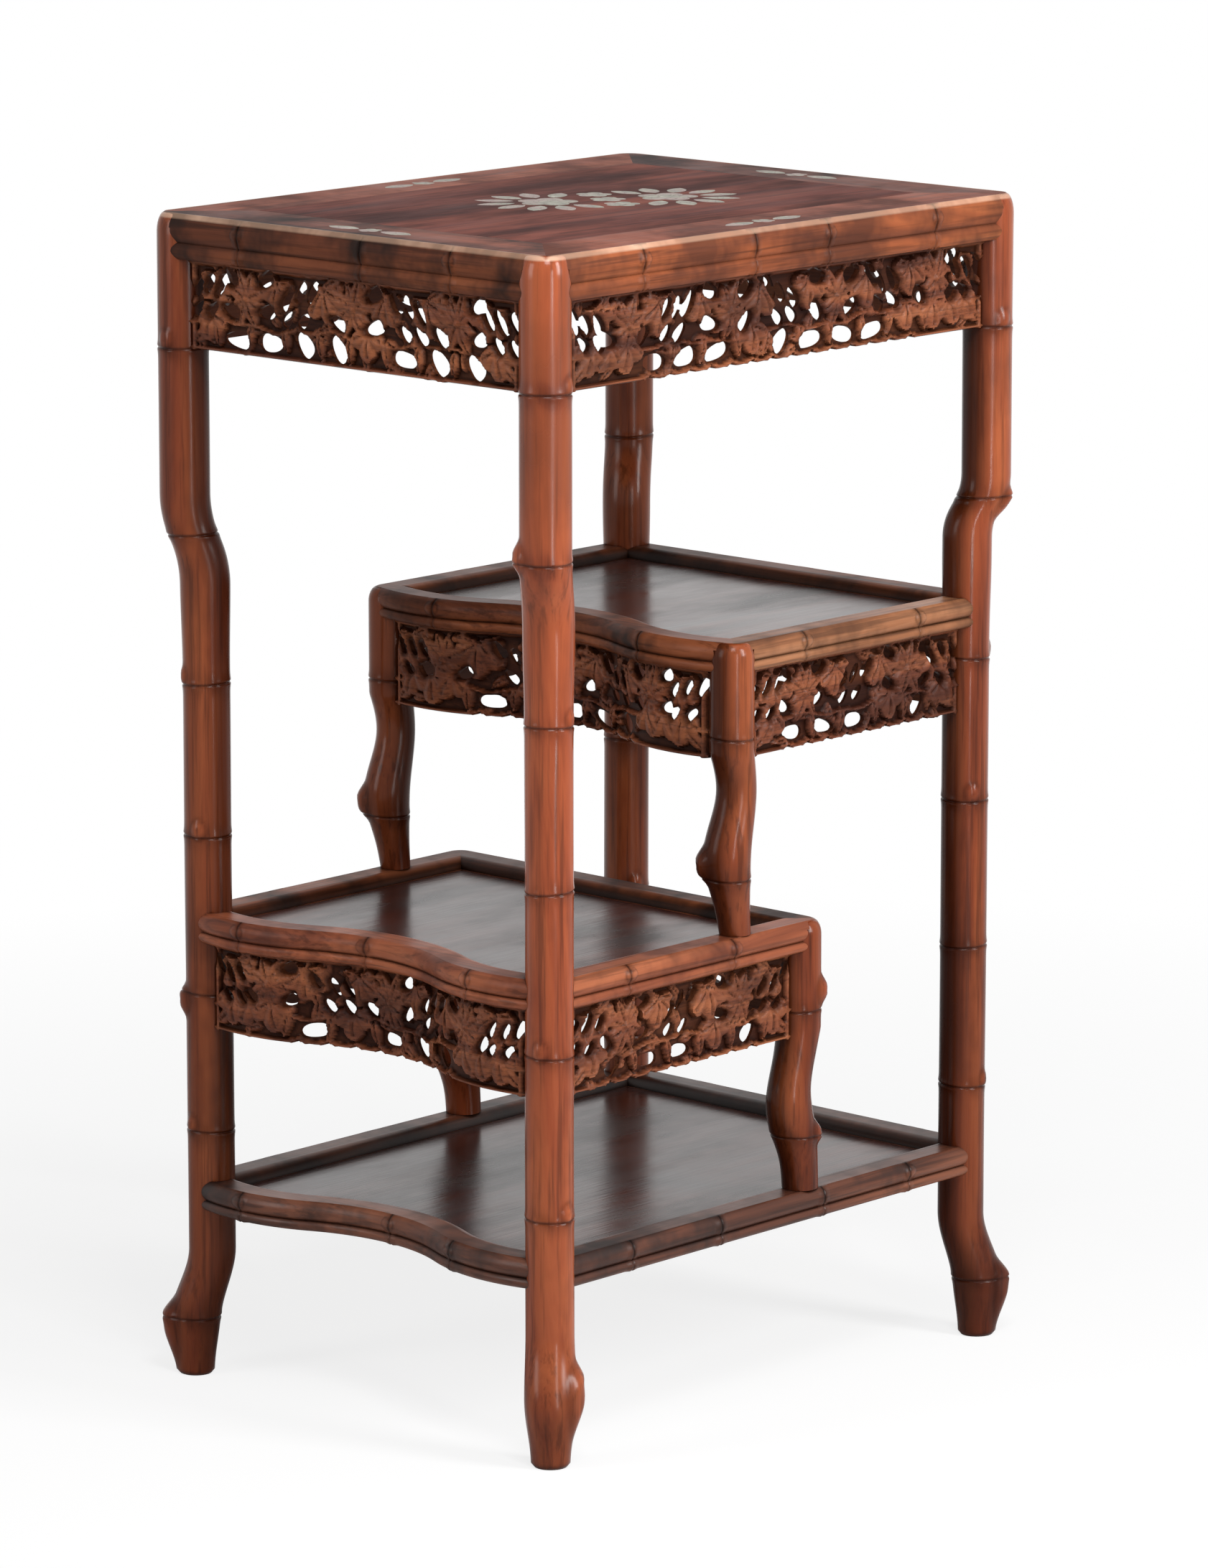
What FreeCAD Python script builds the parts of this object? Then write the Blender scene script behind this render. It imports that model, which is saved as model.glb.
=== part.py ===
import FreeCAD, Part
import math
import os
from collections import namedtuple

# A staggered-shelf side table in hardwood carved as bamboo. X runs left to right, Y front to back, Z up,
# with the origin on the floor under the middle of the top. All sizes are in millimetres.

# Overall sizes
TABLE_WIDTH = 474.0
TABLE_DEPTH = 362.0
FOOT_CLEARANCE = 118.0  # floor to the underside of the bottom shelf
LOWER_BAY = 107.0  # bottom shelf to the apron above it
MIDDLE_BAY = 119.0  # lower shelf to the apron above it
TOP_BAY = 186.0  # upper shelf to the apron above it

# Main legs
LEG_RADIUS = 17.0  # above the bend
LEG_SLIM_RADIUS = 16.0  # below the bend
LEG_JOG_X = 10.8  # how far the bend brings the leg in, each way
LEG_JOG_Y = 7.3
BEND_RISE = 28.0  # upper shelf to the bottom of the bend
BEND_HEIGHT = 57.0
LOWER_NODES = 4  # node rings between the bottom shelf and the bend
NODE_RISE = 27.0  # bottom shelf to the first of them
NODE_DROP = 60.0  # last of them to the bend
NODE_SWELL = 1.0
NODE_COLLAR = 5.0  # length over which a node ring dies into the cane
ANKLE_HEIGHT = 44.0
ANKLE_SWELL = 2.5
FOOT_FLARE = 8.5
FLARE_HEIGHT = 88.0
FLARE_RUN = 52.0  # the foot leans out over this height, then drops straight
FOOT_RADIUS = 13.0
FOOT_SECTIONS = 7
HEAD_EASE = 1.5  # round-over at the head of a main leg

# Short legs at the free ends of the two half shelves
UPPER_FREE_X = 32.0  # their axes from the middle of the table, left for the upper shelf
LOWER_FREE_X = 37.0  # and right for the lower one
POST_RADIUS = 15.0
KNEE_RADIUS = 16.0
NECK_RADIUS = 13.5
UPPER_FOOT_RADIUS = 10.5
LOWER_FOOT_RADIUS = 12.5
SHORT_LEG_SWAY = 7.5
FOOT_TENON_RADIUS = 5.0
FOOT_TENON_DEPTH = 8.0

# Frames and panels
TOP_RAIL_HEIGHT = 30.0
TOP_RAIL_WIDTH = 52.0
TOP_LOWER_BEAD = 11.0
TOP_RAIL_REACH = 16.2  # outer face of a top rail beyond the leg's axis
TOP_LIP = 8.0  # rail left over the head of a main leg
SHELF_RAIL_HEIGHT = 20.0
SHELF_RAIL_WIDTH = 30.0
SHELF_LOWER_BEAD = 7.0
SHELF_LIP = 5.0  # rail left over the head of a short leg
SHELF_RAIL_REACH = 13.5  # outer face of a shelf rail beyond the leg's axis
PANEL_DROP = 7.5  # shelf panel below the top of its rails
MOULDING_WIDTH = 10.0  # round-over from the rail down to the panel
MOULDING_LEDGE = 2.0
BEAD_DEPTH = 2.2
TOP_EASE = 4.5  # upper bead's run in at the top of the rail
TOP_PANEL_THICKNESS = 12.0
SHELF_PANEL_THICKNESS = 9.0
TONGUE_THICKNESS = 4.0
TONGUE_COVER = 3.0  # wood above a panel's tongue
TONGUE_DEPTH = 7.0
BATTEN_WIDTH = 26.0
BATTEN_SPACING = 220.0
BATTEN_LET_IN = 3.0  # into the panel above it
BATTEN_TENON = 6.0  # into the rail at each end

# Serpentine left ends of the shelves
SERPENTINE_DEPTH = 26.0  # middle of the curve behind its two crests
CREST_INSET = 42.0  # each crest in front of its leg's axis

# Aprons
APRON_HEIGHT = 60.0
APRON_THICKNESS = 12.0
APRON_SETBACK = 5.0  # behind the outer face of the rail above
APRON_TONGUE = 5.0  # thickness of the tongue let into rails and legs
APRON_TONGUE_RISE = 4.0
FRET_PITCH = 60.0
FRET_END = 26.0  # straight foot of the lower edge beside each leg
SCALLOP_DEPTH = 3.5
SCALLOP_HALF = 11.0
SEED_LENGTH = 16.0
SEED_WIDTH = 11.0
LEAF_LENGTH = 25.0
LEAF_WIDTH = 9.5
BUD_LENGTH = 20.0
BUD_WIDTH = 8.0
SEED_RISE = 12.0  # middle of an opening above the apron's lower edge
LEAF_RISE = 22.0
BUD_DROP = 14.0  # middle of an opening below its upper edge
SEED_SHIFT = 0.2  # openings to either side of their sprig, in pitches
LEAF_SHIFT = -0.27
BUD_SHIFT = 0.18
SEED_TILT = 0.3  # radians
LEAF_TILT = 1.1
BUD_TILT = -0.5

# Joints
TENON_DEPTH = 8.0
TENON_WIDTH = 8.0
TENON_HEIGHT = 10.0
HEAD_TENON = 12.0  # side of the square tenon on a leg's head
HEAD_TENON_RISE = 3.0
FIT = 0.15  # clearance round a tenon or tongue
CORNER_LAP = 4.0  # run of a serpentine rail past the leg's axis, inside its rounded corner

# Mother-of-pearl let into the top
PEARL_THICKNESS = 1.2
SPRAY_X = 18.0  # middle of the spray, right of the top's own
BLOOM_RADIUS = 21.0  # two blooms of the middle spray
BLOOM_X = 38.0  # to either side of the spray's middle
BLOOM_Y = 20.0
BLOOM_LEAVES = 12  # less the three that point to the other bloom
SPRAY_BUD_RADIUS = 12.5  # smaller flowers between the two blooms
SPRAY_BUD_REACH = 28.0  # from the spray's middle
SPRIG_FLOWER_RADIUS = 8.0
PETALS = 5
PETAL_NOTCH = 0.72  # radius of the notches between petals, over the flower's
PEARL_LEAF_LENGTH = 27.0
PEARL_LEAF_WIDTH = 13.0
PEARL_GAP = 2.0

V = FreeCAD.Vector
UP = V(0.0, 0.0, 1.0)
SIDES = ("front", "back", "left", "right")
ENDS = (("front", -1.0), ("back", 1.0))
HANDS = (("left", -1.0), ("right", 1.0))

# Levels, stacked up from the floor
BOTTOM_TOP = FOOT_CLEARANCE + SHELF_RAIL_HEIGHT
LOWER_TOP = BOTTOM_TOP + LOWER_BAY + APRON_HEIGHT + SHELF_RAIL_HEIGHT
UPPER_TOP = LOWER_TOP + MIDDLE_BAY + APRON_HEIGHT + SHELF_RAIL_HEIGHT
BEND_BOTTOM = UPPER_TOP + BEND_RISE
BEND_TOP = BEND_BOTTOM + BEND_HEIGHT
TOP_APRON_BOTTOM = UPPER_TOP + TOP_BAY
TABLE_TOP = TOP_APRON_BOTTOM + APRON_HEIGHT + TOP_RAIL_HEIGHT

# Leg axes at the top and below the bend
HEAD_X = TABLE_WIDTH / 2 - TOP_RAIL_REACH
HEAD_Y = TABLE_DEPTH / 2 - TOP_RAIL_REACH
LEG_X = HEAD_X - LEG_JOG_X
LEG_Y = HEAD_Y - LEG_JOG_Y

# Each short leg's outline: share of the height from foot to apron, sway to the free end, radius
UPPER_LEG_OUTLINE = (
    (0.0, -0.5, UPPER_FOOT_RADIUS),
    (0.16, -0.1, (UPPER_FOOT_RADIUS + NECK_RADIUS) / 2),
    (0.34, 0.45, POST_RADIUS),
    (0.48, 0.55, KNEE_RADIUS),
    (0.8, -0.62, NECK_RADIUS),
)
LOWER_LEG_OUTLINE = (
    (0.0, 0.3, LOWER_FOOT_RADIUS),
    (0.2, 0.0, NECK_RADIUS),
    (0.4, -0.8, KNEE_RADIUS),
    (0.64, -1.3, POST_RADIUS),
    (0.86, -0.6, (NECK_RADIUS + POST_RADIUS) / 2),
)

RailStyle = namedtuple(
    "RailStyle", "height width reach leg_radius lower_bead panel_drop panel_thickness serpentine"
)
TOP_STYLE = RailStyle(
    TOP_RAIL_HEIGHT, TOP_RAIL_WIDTH, TOP_RAIL_REACH, LEG_RADIUS, TOP_LOWER_BEAD, 0.0,
    TOP_PANEL_THICKNESS, False
)
SHELF_STYLE = RailStyle(
    SHELF_RAIL_HEIGHT, SHELF_RAIL_WIDTH, SHELF_RAIL_REACH, LEG_SLIM_RADIUS, SHELF_LOWER_BEAD, PANEL_DROP,
    SHELF_PANEL_THICKNESS, True
)


def smooth(t):
    t = min(1.0, max(0.0, t))
    return t * t * (3.0 - 2.0 * t)


def box(x0, x1, y0, y1, z0, z1):
    return Part.makeBox(x1 - x0, y1 - y0, z1 - z0, V(x0, y0, z0))


def prism(points, z0, z1):
    """Upright prism on a polygon given as (x, y) corners."""
    corners = [V(x, y, z0) for x, y in points]
    return Part.Face(Part.makePolygon(corners + corners[:1])).extrude(UP * (z1 - z0))


def path_wire(path, place):
    """Closed wire of lines and arcs: a start point, then (end,) for a line or (middle, end) for an arc."""
    here = place(*path[0])
    edges = []
    for step in path[1:]:
        points = [here] + [place(*p) for p in step]
        if len(points) == 2:
            edges.append(Part.makeLine(*points))
        else:
            edges.append(Part.Arc(*points).toShape())
        here = points[-1]
    return Part.Wire(edges)


def section_face(path, origin, inward):
    """Face of a rail's section: w runs inwards from the outer face, z up from the underside."""
    return Part.Face(path_wire(path, lambda w, z: origin + inward * w + UP * z))


# Legs


def ring(z, radius):
    """Stations of a node ring round a cane."""
    return [(z - NODE_COLLAR, radius), (z, radius + NODE_SWELL), (z + NODE_COLLAR, radius)]


def turned_cane(x, y, stations):
    """Upright stretch of cane, turned through stations of (height, radius) from the bottom up."""
    points = [V(x + radius, y, z) for z, radius in stations]
    points = [V(x, y, stations[0][0])] + points + [V(x, y, stations[-1][0])]
    return Part.Face(Part.makePolygon(points + points[:1])).revolve(V(x, y, 0.0), UP, 360.0)


def carved_cane(sections):
    """Smooth stretch of cane through round sections, each (x, y, z, radius), from the bottom up."""
    return Part.makeLoft([Part.Wire(Part.makeCircle(r, V(x, y, z))) for x, y, z, r in sections], True)


def foot_radius(z):
    """Radius of a main leg's foot: slim above, full at the ankle, tapering to the floor."""
    ankle = LEG_SLIM_RADIUS + ANKLE_SWELL
    if z > ANKLE_HEIGHT:
        return ankle - ANKLE_SWELL * smooth((z - ANKLE_HEIGHT) / (FLARE_HEIGHT - ANKLE_HEIGHT))
    return FOOT_RADIUS + (ankle - FOOT_RADIUS) * smooth(z / ANKLE_HEIGHT)


def leg_foot(side_x, side_y):
    """Foot of a main leg, leaning out to its corner."""
    sections = []
    for i in range(FOOT_SECTIONS):
        z = FLARE_HEIGHT * i / (FOOT_SECTIONS - 1)
        flare = FOOT_FLARE * smooth((FLARE_HEIGHT - z) / FLARE_RUN)
        sections.append((side_x * (LEG_X + flare), side_y * (LEG_Y + flare), z, foot_radius(z)))
    return carved_cane(sections)


def leg_bend(low, high):
    """Double bend from the cane's lower axis out to its upper one: two equal arcs that meet halfway."""
    offset = (high - low).Length
    out = (high - low) * (1.0 / offset)
    radius = (BEND_HEIGHT**2 + offset**2) / (4.0 * offset)
    turn = 2.0 * math.degrees(math.atan2(offset, BEND_HEIGHT))
    arcs = []
    for end, centre in ((low + UP * BEND_BOTTOM, out * radius), (high + UP * BEND_TOP, out * -radius)):
        circle = Part.Face(Part.Wire(Part.makeCircle(LEG_RADIUS, end)))
        arcs.append(circle.revolve(end + centre, UP.cross(out), turn))
    return arcs


def main_leg(side_x, side_y):
    """Main leg in one corner: a turned cane with node rings, a double bend and a flared foot."""
    low = V(side_x * LEG_X, side_y * LEG_Y, 0.0)
    high = V(side_x * HEAD_X, side_y * HEAD_Y, 0.0)
    first = BOTTOM_TOP + NODE_RISE
    pitch = (BEND_BOTTOM - NODE_DROP - first) / (LOWER_NODES - 1)
    lower = [(FLARE_HEIGHT, LEG_SLIM_RADIUS)]
    for i in range(LOWER_NODES):
        lower += ring(first + pitch * i, LEG_SLIM_RADIUS)
    lower.append((BEND_BOTTOM, LEG_RADIUS))
    upper = ring(BEND_TOP + NODE_COLLAR, LEG_RADIUS) + ring(TOP_APRON_BOTTOM, LEG_RADIUS)
    head = TABLE_TOP - TOP_LIP
    upper += [(head - HEAD_EASE, LEG_RADIUS), (head, LEG_RADIUS - HEAD_EASE)]
    stretches = [turned_cane(low.x, low.y, lower), turned_cane(high.x, high.y, upper)] + leg_bend(low, high)
    return leg_foot(side_x, side_y).multiFuse(stretches).removeSplitter()


def short_leg(x, y, outward, foot_z, apron_bottom, head_z, outline):
    """Short leg whose knee sways towards the free end, with a node ring and a straight post above it."""
    post_z = apron_bottom + NODE_COLLAR
    rise = apron_bottom - foot_z
    sections = []
    for share, sway, radius in outline:
        sections.append((x + outward * SHORT_LEG_SWAY * sway, y, foot_z + rise * share, radius))
    sections.append((x, y, post_z, POST_RADIUS))
    post = turned_cane(x, y, ring(post_z + NODE_COLLAR, POST_RADIUS) + [(head_z, POST_RADIUS)])
    return carved_cane(sections).fuse(post)


def head_tenon(x, y, z, grow=0.0):
    half = HEAD_TENON / 2 + grow
    return box(x - half, x + half, y - half, y + half, z, z + HEAD_TENON_RISE + grow)


def foot_tenon(x, y, z, grow=0.0):
    return Part.makeCylinder(FOOT_TENON_RADIUS + grow, FOOT_TENON_DEPTH + grow, V(x, y, z), -UP)


# Rails


def beads(height, lower_bead):
    """Outer edge of a rail: a small bead below and a large one above, as two canes laid together."""
    return [
        (BEAD_DEPTH, 0.0),
        ((0.0, lower_bead / 2), (BEAD_DEPTH, lower_bead)),
        ((0.0, (lower_bead + height) / 2), (TOP_EASE, height)),
    ]


def rail_section(style):
    """Rail section with its beads, the moulding down to the panel and the groove for the panel's tongue."""
    width = style.width
    panel_top = style.height - style.panel_drop
    groove_top = panel_top - TONGUE_COVER + FIT
    groove_bottom = panel_top - TONGUE_COVER - TONGUE_THICKNESS - FIT
    groove_end = width - TONGUE_DEPTH - FIT
    path = beads(style.height, style.lower_bead)
    if style.panel_drop > 0.0:
        start = width - MOULDING_LEDGE - MOULDING_WIDTH
        diagonal = math.sin(math.pi / 4)
        round_over = (start + MOULDING_WIDTH * diagonal, panel_top + style.panel_drop * diagonal)
        path.append(((start, style.height),))
        path.append((round_over, (width - MOULDING_LEDGE, panel_top)))
    path.append(((width, panel_top),))
    path.append(((width, groove_top),))
    path.append(((groove_end, groove_top),))
    path.append(((groove_end, groove_bottom),))
    path.append(((width, groove_bottom),))
    path.append(((width, 0.0),))
    path.append(((BEAD_DEPTH, 0.0),))
    return path


def corner_section(style):
    """Outer part of the section, out from a leg's axis, that turns the rounded corner."""
    outer = beads(style.height, style.lower_bead)
    return outer + [((style.reach, style.height),), ((style.reach, 0.0),), ((BEAD_DEPTH, 0.0),)]


class Frame:
    """A mitred frame of four rails between four leg axes, with its panel's outline and its aprons' bands."""

    def __init__(self, name, left, right, top, half_depth, style):
        self.name = name
        self.left = left
        self.right = right
        self.top = top
        self.half_depth = half_depth
        self.style = style
        self.reach = style.reach
        self.bottom = top - style.height
        self.crest_y = half_depth - CREST_INSET
        self.radius = ((self.crest_y / 2) ** 2 + (SERPENTINE_DEPTH / 2) ** 2) / SERPENTINE_DEPTH
        self.crest_x = left - style.reach - self.radius + math.sqrt(self.radius**2 - CREST_INSET**2)

    def curved(self, side):
        return side == "left" and self.style.serpentine

    def corners(self):
        return [(x, y) for x in (self.left, self.right) for y in (-self.half_depth, self.half_depth)]

    def side_corners(self, side):
        if side in ("front", "back"):
            y = self.half_depth * dict(ENDS)[side]
            return [(self.left, y), (self.right, y)]
        x = self.left if side == "left" else self.right
        return [(x, -self.half_depth), (x, self.half_depth)]

    def curve_x(self, inset, y):
        """X of the serpentine line, inset from the outer face, on the stretch beyond the crest."""
        beyond = abs(y) - self.crest_y
        return self.crest_x + self.radius - math.sqrt((self.radius - inset) ** 2 - beyond**2)

    def curve_steps(self, inset, end):
        """Three tangent arcs of the serpentine line from the front (-end) to the back, as path steps."""
        lean = (SERPENTINE_DEPTH - 2 * self.radius) / (2 * self.radius)
        rise = self.crest_y / (2 * self.radius)
        turn_x = self.crest_x + self.radius + lean * (self.radius - inset)
        turn_y = self.crest_y - rise * (self.radius - inset)
        crest = self.crest_x + inset
        return [
            ((crest, -self.crest_y), (turn_x, -turn_y)),
            ((crest + SERPENTINE_DEPTH, 0.0), (turn_x, turn_y)),
            ((crest, self.crest_y), (self.curve_x(inset, end), end)),
        ]

    def outline(self, inset, z0, z1):
        """Upright solid on the frame's plan outline, inset from its outer faces."""
        x0 = self.left - self.reach + inset
        x1 = self.right + self.reach - inset
        y1 = self.half_depth + self.reach - inset
        left_edge = [((x0, y1),)]
        if self.style.serpentine:
            x0 = self.curve_x(inset, y1)
            left_edge = self.curve_steps(inset, y1)
        path = [(x0, -y1)] + left_edge + [((x1, y1),), ((x1, -y1),), ((x0, -y1),)]
        return Part.Face(path_wire(path, lambda x, y: V(x, y, z0))).extrude(UP * (z1 - z0))

    def panel_tongue(self, grow=0.0):
        """Tongue all round the panel, on a slab of the frame's outline."""
        top = self.top - self.style.panel_drop - TONGUE_COVER
        return self.outline(self.style.width - TONGUE_DEPTH - grow, top - TONGUE_THICKNESS - grow, top + grow)

    def band(self, side, near, far, end_inset, z0, z1):
        """Upright band along one side, between two insets from its outer face and short of the leg axes."""
        if side in ("front", "back"):
            outer = self.half_depth + self.reach
            ys = sorted(dict(ENDS)[side] * (outer - inset) for inset in (near, far))
            return box(self.left + end_inset, self.right - end_inset, ys[0], ys[1], z0, z1)
        end = self.half_depth - end_inset
        if self.curved(side):
            return self.serpentine_band(near, far, end, z0, z1)
        sign = dict(HANDS)[side]
        outer = (self.left if side == "left" else self.right) + sign * self.reach
        xs = sorted(outer - sign * inset for inset in (near, far))
        return box(xs[0], xs[1], -end, end, z0, z1)

    def serpentine_band(self, near, far, end, z0, z1):
        """Upright band that follows the serpentine side from -end to end."""
        first, second, third = self.curve_steps(far, end)
        far_x = self.curve_x(far, end)
        near_x = self.curve_x(near, end)
        path = [(near_x, -end)] + self.curve_steps(near, end) + [((far_x, end),)]
        path += [(third[0], second[1]), (second[0], first[1]), (first[0], (far_x, -end))]
        path.append(((near_x, -end),))
        return Part.Face(path_wire(path, lambda x, y: V(x, y, z0))).extrude(UP * (z1 - z0))

    def keep(self, side, lap):
        """Prism that trims a rail at its two mitres and, a lap beyond them, at the leg axes."""
        a = self.half_depth
        out = self.reach + SERPENTINE_DEPTH
        cut = self.style.width + SERPENTINE_DEPTH
        if side in ("front", "back"):
            s = dict(ENDS)[side]
            outer = [(self.left, s * (a + out)), (self.right, s * (a + out))]
            inner = [(self.right - cut, s * (a - cut)), (self.left + cut, s * (a - cut))]
            points = outer + [(self.right, s * a)] + inner + [(self.left, s * a)]
        else:
            s = dict(HANDS)[side]
            edge = self.left if side == "left" else self.right
            outer = [(edge + s * out, -a - lap), (edge + s * out, a + lap), (edge + s * lap, a + lap)]
            inner = [(edge - s * cut, a - cut), (edge - s * cut, cut - a)]
            points = outer + inner + [(edge + s * lap, -a - lap)]
        return prism(points, self.bottom - 1.0, self.top + 1.0)

    def straight_rail(self, side):
        if side in ("front", "back"):
            sign = dict(ENDS)[side]
            start = V(self.left, sign * (self.half_depth + self.reach), self.bottom)
            run = V(self.right - self.left, 0.0, 0.0)
            inward = V(0.0, -sign, 0.0)
        else:
            sign = dict(HANDS)[side]
            edge = self.left if side == "left" else self.right
            start = V(edge + sign * self.reach, -self.half_depth, self.bottom)
            run = V(0.0, 2 * self.half_depth, 0.0)
            inward = V(-sign, 0.0, 0.0)
        return section_face(rail_section(self.style), start, inward).extrude(run)

    def turned(self, centre, start_angle, sweep, hollow):
        """Stretch of the serpentine rail about an upright axis; hollow where the rail bends inwards."""
        out = V(math.cos(start_angle), math.sin(start_angle), 0.0)
        inward = out if hollow else out * -1.0
        face = section_face(rail_section(self.style), centre + out * self.radius, inward)
        return face.revolve(centre, UP, math.degrees(sweep))

    def serpentine_rail(self):
        lean = math.atan2(self.crest_y, 2 * self.radius - SERPENTINE_DEPTH)
        overrun = math.asin((CREST_INSET + self.reach) / self.radius)
        crest_centre = self.crest_x + self.radius
        hollow_centre = V(crest_centre - 2 * self.radius + SERPENTINE_DEPTH, 0.0, self.bottom)
        stretches = [self.turned(hollow_centre, -lean, 2 * lean, True)]
        for _, sign in ENDS:
            centre = V(crest_centre, sign * self.crest_y, self.bottom)
            stretches.append(self.turned(centre, math.pi - sign * overrun, sign * (overrun + lean), False))
        return stretches[0].multiFuse(stretches[1:]).removeSplitter()

    def corner_turn(self, side, x, y):
        """Eighth of a turn that carries a rail's beads round a rounded corner, up to the mitre."""
        side_x = 1.0 if x == self.right else -1.0
        side_y = 1.0 if y > 0.0 else -1.0
        along_y = side in ("front", "back")
        out = V(0.0, side_y, 0.0) if along_y else V(side_x, 0.0, 0.0)
        angle = (-45.0 if along_y else 45.0) * side_x * side_y
        axis = V(x, y, self.bottom)
        face = section_face(corner_section(self.style), axis + out * self.reach, out * -1.0)
        return face.revolve(axis, UP, angle)

    def rail(self, side, rounded):
        """One rail, mitred at both ends and turned round the corners that stand over a leg's head."""
        solid = self.serpentine_rail() if self.curved(side) else self.straight_rail(side)
        turned = [corner for corner in self.side_corners(side) if corner in rounded]
        lap = CORNER_LAP if turned and self.curved(side) else 0.0
        solid = solid.common(self.keep(side, lap))
        for corner in turned:
            solid = solid.fuse(self.corner_turn(side, *corner))
        return solid.removeSplitter()

    def tenon(self, side, x, y, grow=0.0):
        """Stub tenon from a rail into a leg, lying along the rail's line."""
        inner = self.style.leg_radius - TENON_DEPTH - grow
        outer = self.style.leg_radius + TENON_DEPTH
        half = TENON_WIDTH / 2 + grow
        z0 = self.bottom + (self.style.height - SHELF_LIP - TENON_HEIGHT) / 2 - grow
        z1 = z0 + TENON_HEIGHT + 2 * grow
        if side in ("front", "back"):
            toward = 1.0 if x == self.left else -1.0
            xs = sorted((x + toward * inner, x + toward * outer))
            stub = box(xs[0], xs[1], y - half, y + half, z0, z1)
        else:
            toward = -1.0 if y > 0.0 else 1.0
            ys = sorted((y + toward * inner, y + toward * outer))
            stub = box(x - half, x + half, ys[0], ys[1], z0, z1)
        return stub.cut(self.panel_tongue(FIT))


# Aprons


def leaf_wire(u, v, length, width, angle, place):
    """Pointed oval of two arcs."""
    along = (math.cos(angle), math.sin(angle))
    tips = [(u + k * along[0] * length / 2, v + k * along[1] * length / 2) for k in (-1.0, 1.0)]
    sides = [(u - k * along[1] * width / 2, v + k * along[0] * width / 2) for k in (-1.0, 1.0)]
    return path_wire([tips[0], (sides[0], tips[1]), (sides[1], tips[0])], place)


def fret_cells(clear):
    """Sprigs along the clear length of an apron: their pitch, and each one's place and hand."""
    count = max(2, round((clear - FRET_END) / FRET_PITCH))
    pitch = (clear - FRET_END) / count
    return pitch, [((i - (count - 1) / 2) * pitch, 1.0 if i % 2 else -1.0) for i in range(count)]


def fret_face(length, clear, place):
    """Face of an apron: straight upper edge, scalloped lower edge, three pierced openings in each sprig."""
    pitch, cells = fret_cells(clear)
    half = length / 2
    foot = clear / 2 - FRET_END
    path = [(-half, 0.0), ((-foot, 0.0),), ((-foot, SCALLOP_DEPTH),)]
    wires = []
    for u, hand in cells:
        seed = u + SEED_SHIFT * pitch * hand
        leaf = u + LEAF_SHIFT * pitch * hand
        bud = u + BUD_SHIFT * pitch * hand
        if abs(seed) + SCALLOP_HALF < foot:
            path.append(((seed - SCALLOP_HALF, SCALLOP_DEPTH),))
            path.append(((seed, 0.0), (seed + SCALLOP_HALF, SCALLOP_DEPTH)))
        wires.append(leaf_wire(seed, SEED_RISE, SEED_LENGTH, SEED_WIDTH, SEED_TILT * hand, place))
        wires.append(leaf_wire(leaf, LEAF_RISE, LEAF_LENGTH, LEAF_WIDTH, LEAF_TILT * hand, place))
        wires.append(leaf_wire(bud, APRON_HEIGHT - BUD_DROP, BUD_LENGTH, BUD_WIDTH, BUD_TILT * hand, place))
    path += [((foot, SCALLOP_DEPTH),), ((foot, 0.0),), ((half, 0.0),)]
    path += [((half, APRON_HEIGHT),), ((-half, APRON_HEIGHT),), ((-half, 0.0),)]
    return Part.makeFace([path_wire(path, place)] + wires, "Part::FaceMakerBullseye")


def apron_tongues(frame, side, grow=0.0):
    """Tongues of an apron: one up into the rail, and one into the leg at each end."""
    middle = APRON_SETBACK + APRON_THICKNESS / 2
    near = middle - APRON_TONGUE / 2 - grow
    far = middle + APRON_TONGUE / 2 + grow
    z1 = frame.bottom
    z0 = z1 - APRON_HEIGHT + APRON_TONGUE
    stub_end = frame.style.leg_radius + TENON_DEPTH
    rail_tongue = frame.band(side, near, far, stub_end + TENON_DEPTH, z1, z1 + APRON_TONGUE_RISE + grow)
    across = frame.band(side, near, far, frame.style.leg_radius - TENON_DEPTH - grow, z0 - grow, z1)
    clear_span = frame.band(side, 0.0, APRON_SETBACK + 2 * APRON_THICKNESS, stub_end, z0 - APRON_TONGUE, z1)
    return rail_tongue, across.cut(clear_span)


def apron_board(frame, side):
    """Pierced board of an apron, from leg axis to leg axis."""
    z0 = frame.bottom - APRON_HEIGHT
    if side in ("front", "back"):
        length = frame.right - frame.left
        start = V((frame.left + frame.right) / 2, 0.0, z0)
        along = V(1.0, 0.0, 0.0)
        toward = V(0.0, dict(ENDS)[side] * TABLE_DEPTH, 0.0)
    else:
        length = 2 * frame.half_depth
        start = V(frame.right if side == "left" else frame.left, 0.0, z0)
        along = V(0.0, 1.0, 0.0)
        toward = V(dict(HANDS)[side] * (frame.right - frame.left + TABLE_WIDTH), 0.0, 0.0)
    clear = length - 2 * frame.style.leg_radius
    fret = fret_face(length, clear, lambda u, v: start + along * u + UP * v).extrude(toward)
    back = APRON_SETBACK + APRON_THICKNESS
    return frame.band(side, APRON_SETBACK, back, 0.0, z0, frame.bottom).common(fret)


# Panels


def panel(frame):
    """Panel with a tongue all round that floats in the rails' grooves."""
    top = frame.top - frame.style.panel_drop
    body = frame.outline(frame.style.width + FIT, top - frame.style.panel_thickness, top)
    return body.fuse(frame.panel_tongue())


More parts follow.
